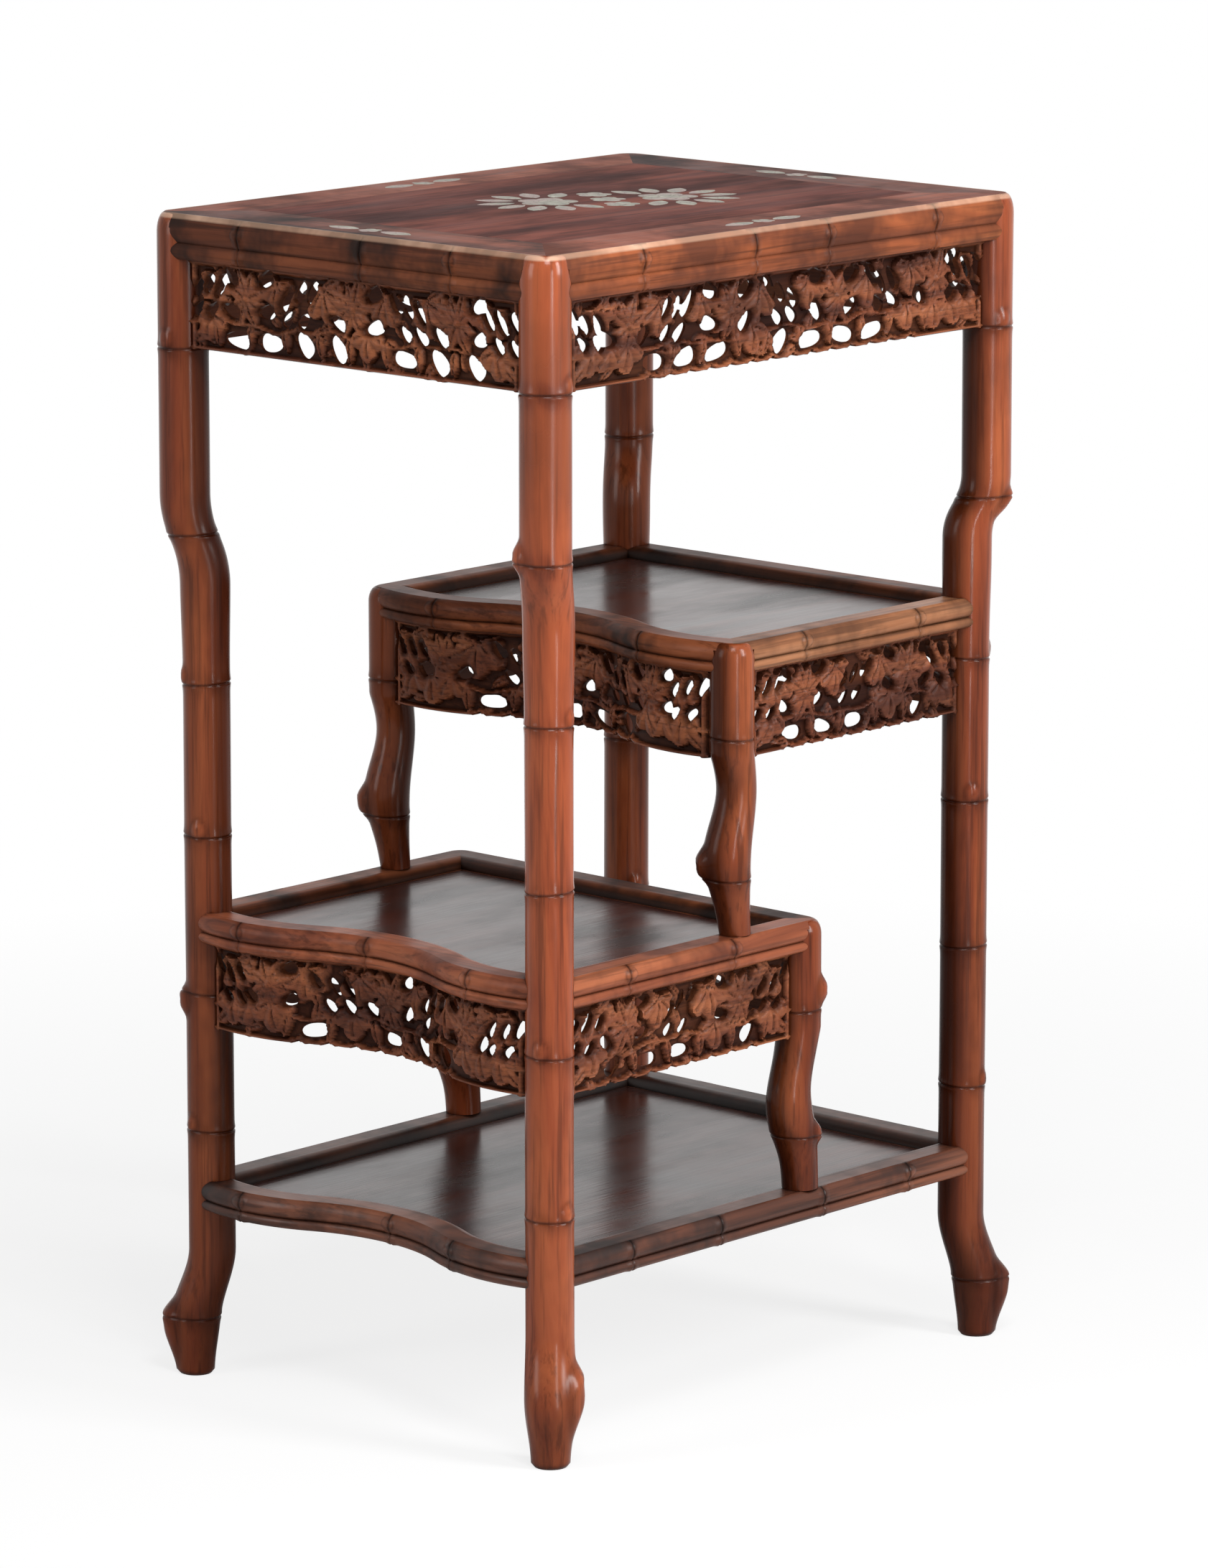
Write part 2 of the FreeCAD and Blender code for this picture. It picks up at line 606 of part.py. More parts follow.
def battens(frame):
    """Cross battens under a panel, let into it and tenoned into the front and back rails."""
    half = frame.half_depth + frame.reach - frame.style.width + BATTEN_TENON
    top = frame.top - frame.style.panel_drop - frame.style.panel_thickness + BATTEN_LET_IN
    span = frame.right - frame.left
    count = max(1, round(span / BATTEN_SPACING))
    middles = [frame.left + span * (i + 0.5) / count for i in range(count)]
    return [box(x - BATTEN_WIDTH / 2, x + BATTEN_WIDTH / 2, -half, half, frame.bottom, top) for x in middles]


# Mother-of-pearl


def pearl(wire):
    return Part.Face(wire).extrude(UP * -PEARL_THICKNESS)


def on_top(x, y):
    return V(x, y, TABLE_TOP)


def pearl_flower(x, y, radius):
    """Flower of round petals, each one arc between two notches."""
    turn = 2 * math.pi / PETALS
    notch = radius * PETAL_NOTCH
    path = [(x + notch, y)]
    for i in range(PETALS):
        tip = ((i + 0.5) * turn, radius)
        end = ((i + 1) * turn, notch)
        path.append(tuple((x + r * math.cos(a), y + r * math.sin(a)) for a, r in (tip, end)))
    return pearl(path_wire(path, on_top))


def pearl_leaf(x, y, angle):
    return pearl(leaf_wire(x, y, PEARL_LEAF_LENGTH, PEARL_LEAF_WIDTH, angle, on_top))


def pearl_spray():
    """Flowers and leaves of the middle spray: two blooms ringed by leaves, three small flowers between."""
    flowers = [pearl_flower(SPRAY_X, 0.0, SPRAY_BUD_RADIUS)]
    leaves = []
    ring_radius = BLOOM_RADIUS + PEARL_GAP + PEARL_LEAF_LENGTH / 2
    across = math.hypot(BLOOM_X, BLOOM_Y)
    for sign in (-1.0, 1.0):
        bloom = (SPRAY_X + sign * BLOOM_X, -sign * BLOOM_Y)
        towards = math.atan2(sign * BLOOM_Y, -sign * BLOOM_X)
        flowers.append(pearl_flower(*bloom, BLOOM_RADIUS))
        bud_x = SPRAY_X + sign * SPRAY_BUD_REACH * BLOOM_Y / across
        bud_y = sign * SPRAY_BUD_REACH * BLOOM_X / across
        flowers.append(pearl_flower(bud_x, bud_y, SPRAY_BUD_RADIUS))
        for i in range(2, BLOOM_LEAVES - 1):
            angle = towards + 2 * math.pi * i / BLOOM_LEAVES
            x = bloom[0] + ring_radius * math.cos(angle)
            y = bloom[1] + ring_radius * math.sin(angle)
            leaves.append(pearl_leaf(x, y, angle))
    return flowers, leaves


def pearl_sprigs():
    """A small flower between two leaves in the middle of each top rail."""
    flowers = []
    leaves = []
    middle_x = TABLE_WIDTH / 2 - TOP_RAIL_WIDTH / 2
    middle_y = TABLE_DEPTH / 2 - TOP_RAIL_WIDTH / 2
    reach = SPRIG_FLOWER_RADIUS + PEARL_LEAF_LENGTH / 2 + PEARL_GAP
    for sign in (-1.0, 1.0):
        flowers.append(pearl_flower(0.0, sign * middle_y, SPRIG_FLOWER_RADIUS))
        flowers.append(pearl_flower(sign * middle_x, 0.0, SPRIG_FLOWER_RADIUS))
        for hand in (-1.0, 1.0):
            leaves.append(pearl_leaf(hand * reach, sign * middle_y, 0.0))
            leaves.append(pearl_leaf(sign * middle_x, hand * reach, math.pi / 2))
    return flowers, leaves


# Assembly


def make_frames():
    """The four framed levels, top down."""
    return (
        Frame("top", -HEAD_X, HEAD_X, TABLE_TOP, HEAD_Y, TOP_STYLE),
        Frame("upper_shelf", -UPPER_FREE_X, LEG_X, UPPER_TOP, LEG_Y, SHELF_STYLE),
        Frame("lower_shelf", -LEG_X, LOWER_FREE_X, LOWER_TOP, LEG_Y, SHELF_STYLE),
        Frame("bottom_shelf", -LEG_X, LEG_X, BOTTOM_TOP, LEG_Y, SHELF_STYLE),
    )


def make_canes(upper, lower, bottom):
    """Every leg before its mortises, with the place of its head and, on a short leg, of its foot."""
    canes = {}
    heads = {}
    feet = {}
    for y_name, side_y in ENDS:
        for x_name, side_x in HANDS:
            name = f"leg_{y_name}_{x_name}"
            canes[name] = main_leg(side_x, side_y)
            heads[name] = (side_x * HEAD_X, side_y * HEAD_Y, TABLE_TOP - TOP_LIP)
        for frame, below, x, outward, outline in (
            (upper, lower, -UPPER_FREE_X, -1.0, UPPER_LEG_OUTLINE),
            (lower, bottom, LOWER_FREE_X, 1.0, LOWER_LEG_OUTLINE),
        ):
            name = f"{frame.name}_leg_{y_name}"
            y = side_y * LEG_Y
            head = frame.top - SHELF_LIP
            canes[name] = short_leg(x, y, outward, below.top, frame.bottom - APRON_HEIGHT, head, outline)
            heads[name] = (x, y, head)
            feet[name] = (x + outward * SHORT_LEG_SWAY * outline[0][1], y, below.top)
    return canes, heads, feet


def build():
    """Every piece of the table by name."""
    top, upper, lower, bottom = make_frames()
    canes, heads, feet = make_canes(upper, lower, bottom)
    all_canes = Part.makeCompound(list(canes.values()))
    rounded = {
        top: top.corners(),
        upper: upper.side_corners("left"),
        lower: lower.side_corners("right"),
        bottom: [],
    }
    spray_flowers, spray_leaves = pearl_spray()
    sprig_flowers, sprig_leaves = pearl_sprigs()
    tenon_holes = [head_tenon(*place, FIT) for place in heads.values()]
    tenon_holes += [foot_tenon(*place, FIT) for place in feet.values()]
    nodes = {}
    mortises = []
    for frame in (top, upper, lower, bottom):
        cross_bars = battens(frame)
        for number, solid in enumerate(cross_bars, 1):
            nodes[f"{frame.name}_batten_{number}"] = solid
        pockets = spray_flowers + spray_leaves if frame is top else []
        nodes[f"{frame.name}_panel"] = panel(frame).cut(Part.makeCompound(cross_bars + pockets + [all_canes]))
        for side in SIDES:
            holes = cross_bars + tenon_holes
            if frame is top:
                holes = holes + sprig_flowers + sprig_leaves
            if frame is not bottom:
                tongue, stubs = apron_tongues(frame, side)
                board = apron_board(frame, side).cut(all_canes)
                nodes[f"{frame.name}_apron_{side}"] = board.fuse([tongue, stubs])
                groove, stub_mortises = apron_tongues(frame, side, FIT)
                holes = holes + [groove]
                mortises.append(stub_mortises)
            rail = frame.rail(side, rounded[frame]).cut(Part.makeCompound(holes + [all_canes]))
            if frame is not top:
                for corner in frame.side_corners(side):
                    rail = rail.fuse(frame.tenon(side, *corner))
                    mortises.append(frame.tenon(side, *corner, FIT))
            nodes[f"{frame.name}_rail_{side}"] = rail.removeSplitter()
    for name, solid in canes.items():
        solid = solid.fuse(head_tenon(*heads[name]))
        if name in feet:
            solid = solid.fuse(foot_tenon(*feet[name]))
        nodes[name] = solid.cut(Part.makeCompound(mortises))
    nodes["pearl_flowers"] = Part.makeCompound(spray_flowers + sprig_flowers)
    nodes["pearl_leaves"] = Part.makeCompound(spray_leaves + sprig_leaves)
    return nodes


os.makedirs("parts", exist_ok=True)
for node, shape in build().items():
    shape.exportStep(f"parts/{node}.step")
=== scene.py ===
import math
from collections import namedtuple

import bmesh
import bpy
import numpy as np
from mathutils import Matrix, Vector


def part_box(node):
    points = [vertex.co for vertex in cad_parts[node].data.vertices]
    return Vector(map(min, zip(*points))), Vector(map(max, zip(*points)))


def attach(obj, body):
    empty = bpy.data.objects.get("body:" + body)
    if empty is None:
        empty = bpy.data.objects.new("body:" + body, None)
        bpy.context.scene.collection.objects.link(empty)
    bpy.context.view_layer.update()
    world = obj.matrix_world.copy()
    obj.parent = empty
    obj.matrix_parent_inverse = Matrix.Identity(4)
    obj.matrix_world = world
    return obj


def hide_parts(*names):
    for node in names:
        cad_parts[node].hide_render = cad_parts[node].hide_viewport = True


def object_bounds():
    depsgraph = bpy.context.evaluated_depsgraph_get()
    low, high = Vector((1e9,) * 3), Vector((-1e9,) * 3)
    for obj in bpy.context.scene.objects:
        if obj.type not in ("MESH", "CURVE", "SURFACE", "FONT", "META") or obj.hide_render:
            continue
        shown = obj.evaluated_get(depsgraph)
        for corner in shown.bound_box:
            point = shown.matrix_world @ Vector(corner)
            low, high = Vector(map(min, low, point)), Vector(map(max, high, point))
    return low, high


# Looks of a staggered-shelf side table in varnished hardwood carved as bamboo, with pierced aprons.
# Sizes are in millimetres and become metres where a mesh is made.
# X runs left to right, Y front to back, Z up.

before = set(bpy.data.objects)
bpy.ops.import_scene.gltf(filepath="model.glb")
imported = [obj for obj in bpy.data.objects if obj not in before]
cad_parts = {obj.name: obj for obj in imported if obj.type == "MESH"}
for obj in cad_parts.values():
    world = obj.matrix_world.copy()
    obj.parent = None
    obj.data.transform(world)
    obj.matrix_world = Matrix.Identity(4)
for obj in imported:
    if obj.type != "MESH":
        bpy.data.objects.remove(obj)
CAD_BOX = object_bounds()
MM = 0.001
TURN = 2 * math.pi

# Camera at the photograph's viewing angle
CAMERA_AZIMUTH = math.radians(-47.38)  # from straight in front, round to the left end
CAMERA_ELEVATION = math.radians(10.69)
CAMERA_DISTANCE = 5.0
CAMERA_PIVOT = Vector((0.0, 0.0, 0.465))
CAMERA_AIM = Vector((-0.002, -0.015, 0.4035))
CAMERA_LENS = 168.74

# Legs
LEG_RADIUS = 17.0
LEG_SLIM_RADIUS = 16.0
HEAD_X = 220.8
HEAD_Y = 164.8
LEG_X = 210.0
LEG_Y = 157.5
TAPER_START = 492.0  # the cane thickens from here up to the bend
TAPER_END = 552.0
NODE_SWELL = 0.55
NODE_COLLAR = 3.6
NODE_GROOVE = 0.85
GROOVE_HALF = 0.85
NODE_SKEW = 0.7
ANKLE_HEIGHT = 44.0
ANKLE_SWELL = 1.4
FOOT_FLARE = 8.5
FLARE_HEIGHT = 88.0
FLARE_RUN = 52.0
FOOT_RADIUS = 13.0
FOOT_EASE = 2.0
CANE_SEGMENTS = 56
CANE_STEP = 2.5
NODE_STEPS = np.arange(-4.0, 4.01, 0.4)  # close sections about a node's groove
HEAD_STEPS = np.array([2.2, 1.5, 0.9, 0.4, 0.1])  # and below the head
WOBBLE = 0.3  # hand-carved unevenness of a cane
WOBBLE_WAVES = ((2, 0.013), (3, 0.021), (5, 0.034))  # lobes round it, radians to the millimetre along it
MAIN_DOME = (13.5, 5.4)  # height and depth of the rounding at the head of a leg
SHORT_DOME = (10.0, 6.0)
HEAD_COVER = 0.3  # top of a rail over a leg's head
SHADE_HEIGHT = 700.0  # above it a leg has its upper shade, below it fades to the lower one
# painted shade on the side of a leg that faces inward
INNER_PAINTED_SHADE = 0.84
FOOT_STAIN = 0.1
FOOT_STAIN_HEIGHT = 110.0
NODE_SMUDGE = 0.45  # dark varnish about a node
SMUDGE_HALF = 8.0

# Buds and leaf scars of the legs
LEFT_OF_VIEW = 132.0  # bearings, in degrees from +X
RIGHT_OF_VIEW = -48.0
BUD = (28.0, 5.0, 1.0)  # length, rise, and how much longer it is below than above
FOOT_BUD = (34.0, 6.0, 2.4)
KNOT = (16.0, 1.8, 1.0)
KNOT_BREADTH = 0.42  # half of its breadth, as a share of its length
KNOT_EYE = 0.2
KNOT_RIM = 0.9
KNOT_RIM_STAIN = 0.35
KNOT_SHOULDER = 0.35
# lighter shoulder of a knot: wear and painted highlight
KNOT_WEAR_AND_HIGHLIGHT = 0.2

# Short legs
POST_RADIUS = 15.0
KNEE_RADIUS = 16.0
NECK_RADIUS = 13.5
UPPER_FOOT_RADIUS = 10.5
LOWER_FOOT_RADIUS = 12.5
SHORT_LEG_SWAY = 7.5
SHORT_LEG_SHADE = (0.26, 0.5)
SHORT_LEG_SHADES = {"upper_shelf_leg_back": (0.5, 0.7)}
NODE_RUN = 5.0  # apron's lower edge up to the straight post
UPPER_FREE_X = -32.0
LOWER_FREE_X = 37.0

# Frames
SIDES = ("front", "back", "left", "right")
LONG_SIDES = SIDES[:2]
TOP_REACH = 16.2  # outer face of a rail beyond the leg's axis
SHELF_REACH = 13.5
BEAD_DEPTH = 2.2
TOP_LOWER_BEAD = 11.0
SHELF_LOWER_BEAD = 7.0
TOP_EASE = 4.5
SERPENTINE_DEPTH = 26.0
CREST_INSET = 42.0

# Aprons
APRON_HEIGHT = 60.0
APRON_SETBACK = 5.0
APRON_SINK = 3.0  # run of an apron into the legs
RELIEF = 7.0  # depth of the carving
CARVE_STEP = 1.1  # mesh spacing of the carving
BOARD_THICKNESS = 8.5
BAY_PITCH = 92.0  # one flower between two broad leaves
SLOT_INSET = 15.0  # first and last cluster of slots from the legs
PEBBLE_PITCH = 31.0  # openings of the lower row
LOBE_PITCH = 20.0  # scallops of the lower edge
LOBE_DEPTH = 3.5
LONG_FOOT = 64.0  # plain foot of the lower edge beside each leg
SHORT_FOOT = 24.0
VINE_MIDDLE = 20.0
VINE_SWING = 2.0
GROUND = 0.1  # height of the ground, as a share of the relief
SHELF_PIERCING = 0.8  # openings under the shelves are smaller
RIM_PAINTED_SHADE = 0.7  # painted shade on the rim of an opening
RIM_WIDTH = 2.4


def smooth(t):
    t = np.clip(t, 0.0, 1.0)
    return t * t * (3.0 - 2.0 * t)


def bell(x, half):
    return np.exp(-((x / half) ** 2))


def rounded(x, half):
    """Round dome: one in the middle, none from the half width on."""
    return np.sqrt(np.clip(1.0 - (x / half) ** 2, 0.0, 1.0))


def wrapped(angle):
    """The same angle, at most half a turn from zero."""
    return (angle + math.pi) % TURN - math.pi


# Materials


class Shader:
    """Adds shader nodes to a tree."""

    def __init__(self, tree):
        self.tree = tree

    def put(self, socket, value):
        if isinstance(value, bpy.types.NodeSocket):
            self.tree.links.new(value, socket)
        else:
            socket.default_value = value

    def node(self, kind, inputs, output=0, **settings):
        """New node with its settings and inputs; returns one of its outputs."""
        node = self.tree.nodes.new("ShaderNode" + kind)
        for key, value in settings.items():
            setattr(node, key, value)
        for key, value in inputs.items():
            self.put(node.inputs[key], value)
        return node.outputs[output]

    def math(self, operation, first, second=0.0):
        return self.node("Math", {0: first, 1: second}, operation=operation)

    def part(self, vector, axis):
        return self.node("SeparateXYZ", {0: vector}, axis)

    def span(self, value, low, high, start=0.0, end=1.0):
        inputs = {"Value": value, "From Min": low, "From Max": high, "To Min": start, "To Max": end}
        return self.node("MapRange", inputs)


SEED_SPREAD = 37.0
ARRIS_EDGE = (0.5, 2.5)  # where the wear and painted highlight of the edge fade, inward of the rounding and below the top
ARRIS_DROP = (3.6, 2.4)


class Finish(Shader):
    """A material. Its noise differs from piece to piece, unless it has a seed of its own."""

    def __init__(self, name, seed=None):
        self.seed = seed
        self.material = bpy.data.materials.new(name)
        self.material.use_nodes = True
        super().__init__(self.material.node_tree)
        self.surface = self.tree.nodes["Principled BSDF"]

    def set(self, **inputs):
        for key, value in inputs.items():
            self.put(self.surface.inputs[key.replace("_", " ")], value)

    def noise(self, scale, detail, roughness, distortion=0.0):
        """Noise with its own scale along X, Y and Z."""
        place = self.node("TexCoord", {}, "Object")
        place = self.node("Mapping", {"Vector": place, "Scale": scale})
        seed = self.seed
        if seed is None:
            seed = self.math("MULTIPLY", self.node("ObjectInfo", {}, "Random"), SEED_SPREAD)
        inputs = {"Vector": place, "W": seed, "Scale": 1.0, "Detail": detail, "Roughness": roughness}
        inputs["Distortion"] = distortion
        return self.node("TexNoise", inputs, noise_dimensions="4D")

    def ramp(self, factor, stops):
        """Colour ramp through (place, colour) stops."""
        output = self.node("ValToRGB", {"Fac": factor})
        elements = output.node.color_ramp.elements
        while len(elements) < len(stops):
            elements.new(0.5)
        for element, (place, colour) in zip(elements, stops):
            element.position = place
            element.color = (*colour, 1.0)
        return output

    def mix(self, factor, first, second, blend="MIX"):
        output = self.node("Mix", {}, 2, data_type="RGBA", blend_type=blend)
        inputs = output.node.inputs
        self.put(inputs[0], factor)
        for socket, colour in ((inputs[6], first), (inputs[7], second)):
            self.put(socket, colour if isinstance(colour, bpy.types.NodeSocket) else (*colour, 1.0))
        return output

    def crevices(self, reach, clear, deep):
        """One in corners and hollows, none in the open."""
        open_share = self.node("AmbientOcclusion", {"Distance": reach}, "AO", samples=6)
        return self.span(open_share, clear, deep)

    def top_arris(self):
        """One along the upper edge of the top, where wear and a painted highlight lighten it, none
        elsewhere.
        """
        place = self.node("TexCoord", {}, "Object")
        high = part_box("top_rail_right")[1]
        near = None
        for axis, limit in ((0, high.x), (1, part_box("top_rail_back")[1].y)):
            off = self.math("SUBTRACT", limit, self.math("ABSOLUTE", self.part(place, axis)))
            near = off if near is None else self.math("MINIMUM", near, off)
        edge = self.span(near, *((TOP_EASE + inset) * MM for inset in ARRIS_EDGE), start=1.0, end=0.0)
        upper = self.span(self.part(place, 2), *(high.z - drop * MM for drop in ARRIS_DROP))
        return self.math("MULTIPLY", edge, upper)


CREVICE_SHADE_DEPTH = 0.85  # depth of the painted shade in corners and grooves
DULL = 0.25  # gloss that stained wood and its painted shade keep
# painted highlight with wear along the top's upper edge
ARRIS_TONE = (0.62, 0.4, 0.28)
FLAT_SPECULAR = 0.015  # upper faces of the top's rails
TOP_SHADE = (0.75, 0.55, 0.55)  # painted shade: they are as dark as its panel


def scaled(tone, share):
    return tuple(share * c for c in tone)


def wood(name, tones, along, roughness, figure=1.0, specular=0.25, blotches=0.75, arris=False, inner=None,
         patches=7.0, seed=None):
    """Varnished hardwood with its grain along one axis: dark, middle and light tones, painted shade in
    hollows and grooves, and patches of wear, so many to the metre. Its per-vertex attribute darkens it
    with stains and painted shade, and below zero lightens it with wear and painted highlight. A rail's
    inner face, given as its axis and sign, is darker with painted shade. With arris, faces that look up
    get painted shade and the top's upper edge a painted highlight with wear."""
    finish = Finish(name, seed)
    dark, middle, light = tones

    def stretched(across, length):
        scale = [across * figure] * 3
        scale[along] = length
        return tuple(scale)

    broad = finish.noise(stretched(24.0, 2.6), detail=5.0, roughness=0.62, distortion=0.9)
    fine = finish.noise(stretched(280.0, 9.0), detail=3.0, roughness=0.6)
    patch = finish.noise(stretched(13.0, patches), detail=4.0, roughness=0.62)
    colour = finish.ramp(broad, [(0.28, dark), (0.46, middle), (0.7, light)])
    pores = finish.span(fine, 0.36, 0.5, start=0.55)
    pores = finish.node("CombineColor", {0: pores, 1: pores, 2: pores})
    colour = finish.mix(1.0, colour, pores, "MULTIPLY")
    blotch = finish.span(patch, 0.47, 0.63, end=blotches)
    colour = finish.mix(blotch, colour, scaled(dark, 0.6))
    # per-vertex stains and painted shade, and below zero wear and painted highlight
    stain = finish.node("Attribute", {}, "Fac", attribute_name="stain")
    # lighter where the per-vertex value is below zero: wear and painted highlight
    wear_and_highlight = finish.span(stain, 0.0, -1.0, end=0.9)
    colour = finish.mix(wear_and_highlight, colour, scaled(light, 1.2))
    # painted shade in corners and grooves, from ambient occlusion
    corners = finish.crevices(reach=0.014, clear=0.9, deep=0.35)
    grooves = finish.crevices(reach=0.003, clear=0.95, deep=0.6)
    crevice_shade = finish.math("MULTIPLY", finish.math("MAXIMUM", corners, grooves), CREVICE_SHADE_DEPTH)
    hollow = finish.math("MAXIMUM", crevice_shade, stain)
    colour = finish.mix(hollow, colour, scaled(dark, 0.14))
    shine = finish.span(hollow, 0.0, 1.0, specular, DULL * specular)
    facing = finish.node("NewGeometry", {}, "Normal")
    if inner:
        axis, sign = inner
        # painted shade on a rail's inner face
        turned = finish.span(finish.part(facing, axis), 0.3 * sign, 0.8 * sign, end=0.8)
        colour = finish.mix(turned, colour, scaled(dark, 0.3))
    if arris:
        # painted shade on faces that look up, as dark as the top's panel
        flat = finish.span(finish.part(facing, 2), 0.9, 0.97)
        colour = finish.mix(flat, colour, finish.mix(1.0, colour, TOP_SHADE, "MULTIPLY"))
        # painted highlight with wear along the top's upper edge, broken up by the patches
        arris_highlight = finish.span(patch, 0.3, 0.55, start=0.9, end=0.35)
        colour = finish.mix(finish.math("MULTIPLY", finish.top_arris(), arris_highlight), colour, ARRIS_TONE)
        shine = finish.span(flat, 0.0, 1.0, shine, FLAT_SPECULAR)
    gloss = finish.span(patch, 0.3, 0.7, start=roughness - 0.06, end=roughness + 0.12)
    finish.set(Base_Color=colour, Roughness=gloss, Specular_IOR_Level=shine)
    finish.set(Normal=finish.node("Bump", {"Height": fine, "Strength": 0.2, "Distance": 0.0005}))
    return finish.material


PEARL_GREENS = ((0.3, (0.1, 0.1, 0.07)), (0.5, (0.25, 0.24, 0.18)), (0.7, (0.46, 0.44, 0.37)))
PEARL_PINKS = ((0.3, (0.14, 0.08, 0.065)), (0.55, (0.33, 0.24, 0.21)), (0.75, (0.5, 0.44, 0.4)))
CRACK_TONE = (0.06, 0.03, 0.02)


def pearl_shell():
    """Dull old mother-of-pearl: pale grey-green to pink patches between fine dark cracks."""
    finish = Finish("pearl")
    patch = finish.noise((130.0, 130.0, 130.0), detail=3.0, roughness=0.6)
    tint = finish.noise((45.0, 45.0, 45.0), detail=2.0, roughness=0.5)
    greens = finish.ramp(patch, PEARL_GREENS)
    pinks = finish.ramp(patch, PEARL_PINKS)
    colour = finish.mix(finish.span(tint, 0.45, 0.6), greens, pinks)
    cells = {"Vector": finish.node("TexCoord", {}, "Object"), "Scale": 190.0}
    cell = finish.node("TexVoronoi", cells, "Distance", feature="DISTANCE_TO_EDGE")
    colour = finish.mix(finish.span(cell, 0.0, 0.06, start=0.75, end=0.0), colour, CRACK_TONE)
    gloss = finish.span(patch, 0.3, 0.7, start=0.3, end=0.5)
    finish.set(Base_Color=colour, Roughness=gloss, Specular_IOR_Level=0.2)
    finish.set(Normal=finish.node("Bump", {"Height": patch, "Strength": 0.12, "Distance": 0.0004}))
    return finish.material


CANE_TONES = ((0.09, 0.018, 0.007), (0.265, 0.054, 0.018), (0.43, 0.112, 0.038))
RAIL_TONES = ((0.085, 0.023, 0.011), (0.255, 0.068, 0.024), (0.44, 0.14, 0.05))
LOW_RAIL_TONES = ((0.08, 0.021, 0.012), (0.23, 0.063, 0.028), (0.4, 0.13, 0.058))
# DARK_TONES also give the rails of the shaded sides their painted shade
DARK_TONES = ((0.02, 0.008, 0.005), (0.118, 0.034, 0.016), (0.29, 0.088, 0.034))
CARVED_TONES = ((0.055, 0.015, 0.009), (0.175, 0.05, 0.022), (0.34, 0.115, 0.048))
GREY_TONES = ((0.018, 0.008, 0.006), (0.08, 0.026, 0.014), (0.2, 0.068, 0.034))
TAN_TONES = ((0.1, 0.039, 0.019), (0.25, 0.098, 0.044), (0.41, 0.195, 0.1))
SHELF_TONES = ((0.014, 0.007, 0.006), (0.045, 0.014, 0.011), (0.1, 0.032, 0.022))
PANEL_TONES = ((0.035, 0.01, 0.009), (0.11, 0.024, 0.016), (0.21, 0.053, 0.031))
CANE_WOOD = wood("cane_wood", CANE_TONES, 2, 0.19, specular=0.24, blotches=0.55, arris=True)
CARVED_WOODS = [wood("carved_wood_" + "xy"[axis], CARVED_TONES, axis, 0.4, 2.0, 0.14) for axis in (0, 1)]
BATTEN_WOOD = wood("batten_wood", DARK_TONES, 1, 0.5)
TOP_WOOD = wood("top_panel_wood", PANEL_TONES, 0, 0.5, figure=1.6, specular=0.03)
PANEL_WOOD = wood("panel_wood", SHELF_TONES, 0, 0.2, figure=1.4, specular=0.5)
PEARL = pearl_shell()
# Finishes of the rails: tones, gloss and depth of the blotches
RAIL_KINDS = {
    "red": (RAIL_TONES, 0.14, 0.75),
    "low": (LOW_RAIL_TONES, 0.14, 0.75),
    "tan": (TAN_TONES, 0.14, 0.75),
    # painted shade: a darker copy of the wood for the rails of the shaded sides
    "dark": (DARK_TONES, 0.08, 0.95),
    "grey": (GREY_TONES, 0.22, 0.95),
}
# axis and sign of each rail's inner face, which gets painted shade
INNER_FACES = {"front": (1, 1.0), "back": (1, -1.0), "left": (0, 1.0), "right": (0, -1.0)}
RAIL_WOODS = {}


def rail_kind(level, side):
    """Which finish a rail has; some are of lighter or other tones, and the dark ones are painted shade on
    the rails of the shaded sides.
    """
    if level == "bottom_shelf":
        return "grey"
    if side == "right" or side == "back" and level != "top" or side == "left" and level != "lower_shelf":
        return "dark"
    return {"lower_shelf": "low", "upper_shelf": "tan"}.get(level, "red")


def rail_wood(name):
    """Finish of a rail, with its grain along it."""
    level, side = name.split("_rail_")
    top = level == "top"
    kind = rail_kind(level, side)
    key = (top, kind, side)
    if key not in RAIL_WOODS:
        tones, specular, blotches = RAIL_KINDS[kind]
        along = 0 if side in LONG_SIDES else 1
        title = f"{'top' if top else 'shelf'}_rail_{kind}_{side}_wood"
        inner = None if top else INNER_FACES[side]
        RAIL_WOODS[key] = wood(title, tones, along, 0.34, specular=specular, blotches=blotches, arris=top,
                               inner=inner, patches=16.0, seed=5.0 * len(RAIL_WOODS))
    return RAIL_WOODS[key]


# Pieces


def add_object(name, data, location=(0.0, 0.0, 0.0), aim=None):
    """New object in the scene, facing a point if one is given."""
    item = bpy.data.objects.new(name, data)
    bpy.context.scene.collection.objects.link(item)
    item.location = location
    if aim:
        item.rotation_euler = (aim - item.location).to_track_quat("-Z", "Y").to_euler()
    return item


def add_piece(name, vertices, faces, material, node, stain, sharp):
    """Closed mesh piece from millimetre vertices; its per-vertex values darken it with stains and painted
    shade, or below zero lighten it with wear and painted highlight.
    """
    mesh = bpy.data.meshes.new(name)
    mesh.from_pydata((vertices * MM).tolist(), [], faces)
    layer = mesh.attributes.new("stain", "FLOAT", "POINT")
    layer.data.foreach_set("value", np.asarray(stain, np.float32))
    bm = bmesh.new()
    bm.from_mesh(mesh)
    bmesh.ops.recalc_face_normals(bm, faces=bm.faces)
    bm.to_mesh(mesh)
    bm.free()
    mesh.shade_smooth()
    mesh.set_sharp_from_angle(angle=math.radians(sharp))
    mesh.materials.append(material)
    piece = add_object(name, mesh)
    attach(piece, "root")
    if node:
        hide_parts(node)


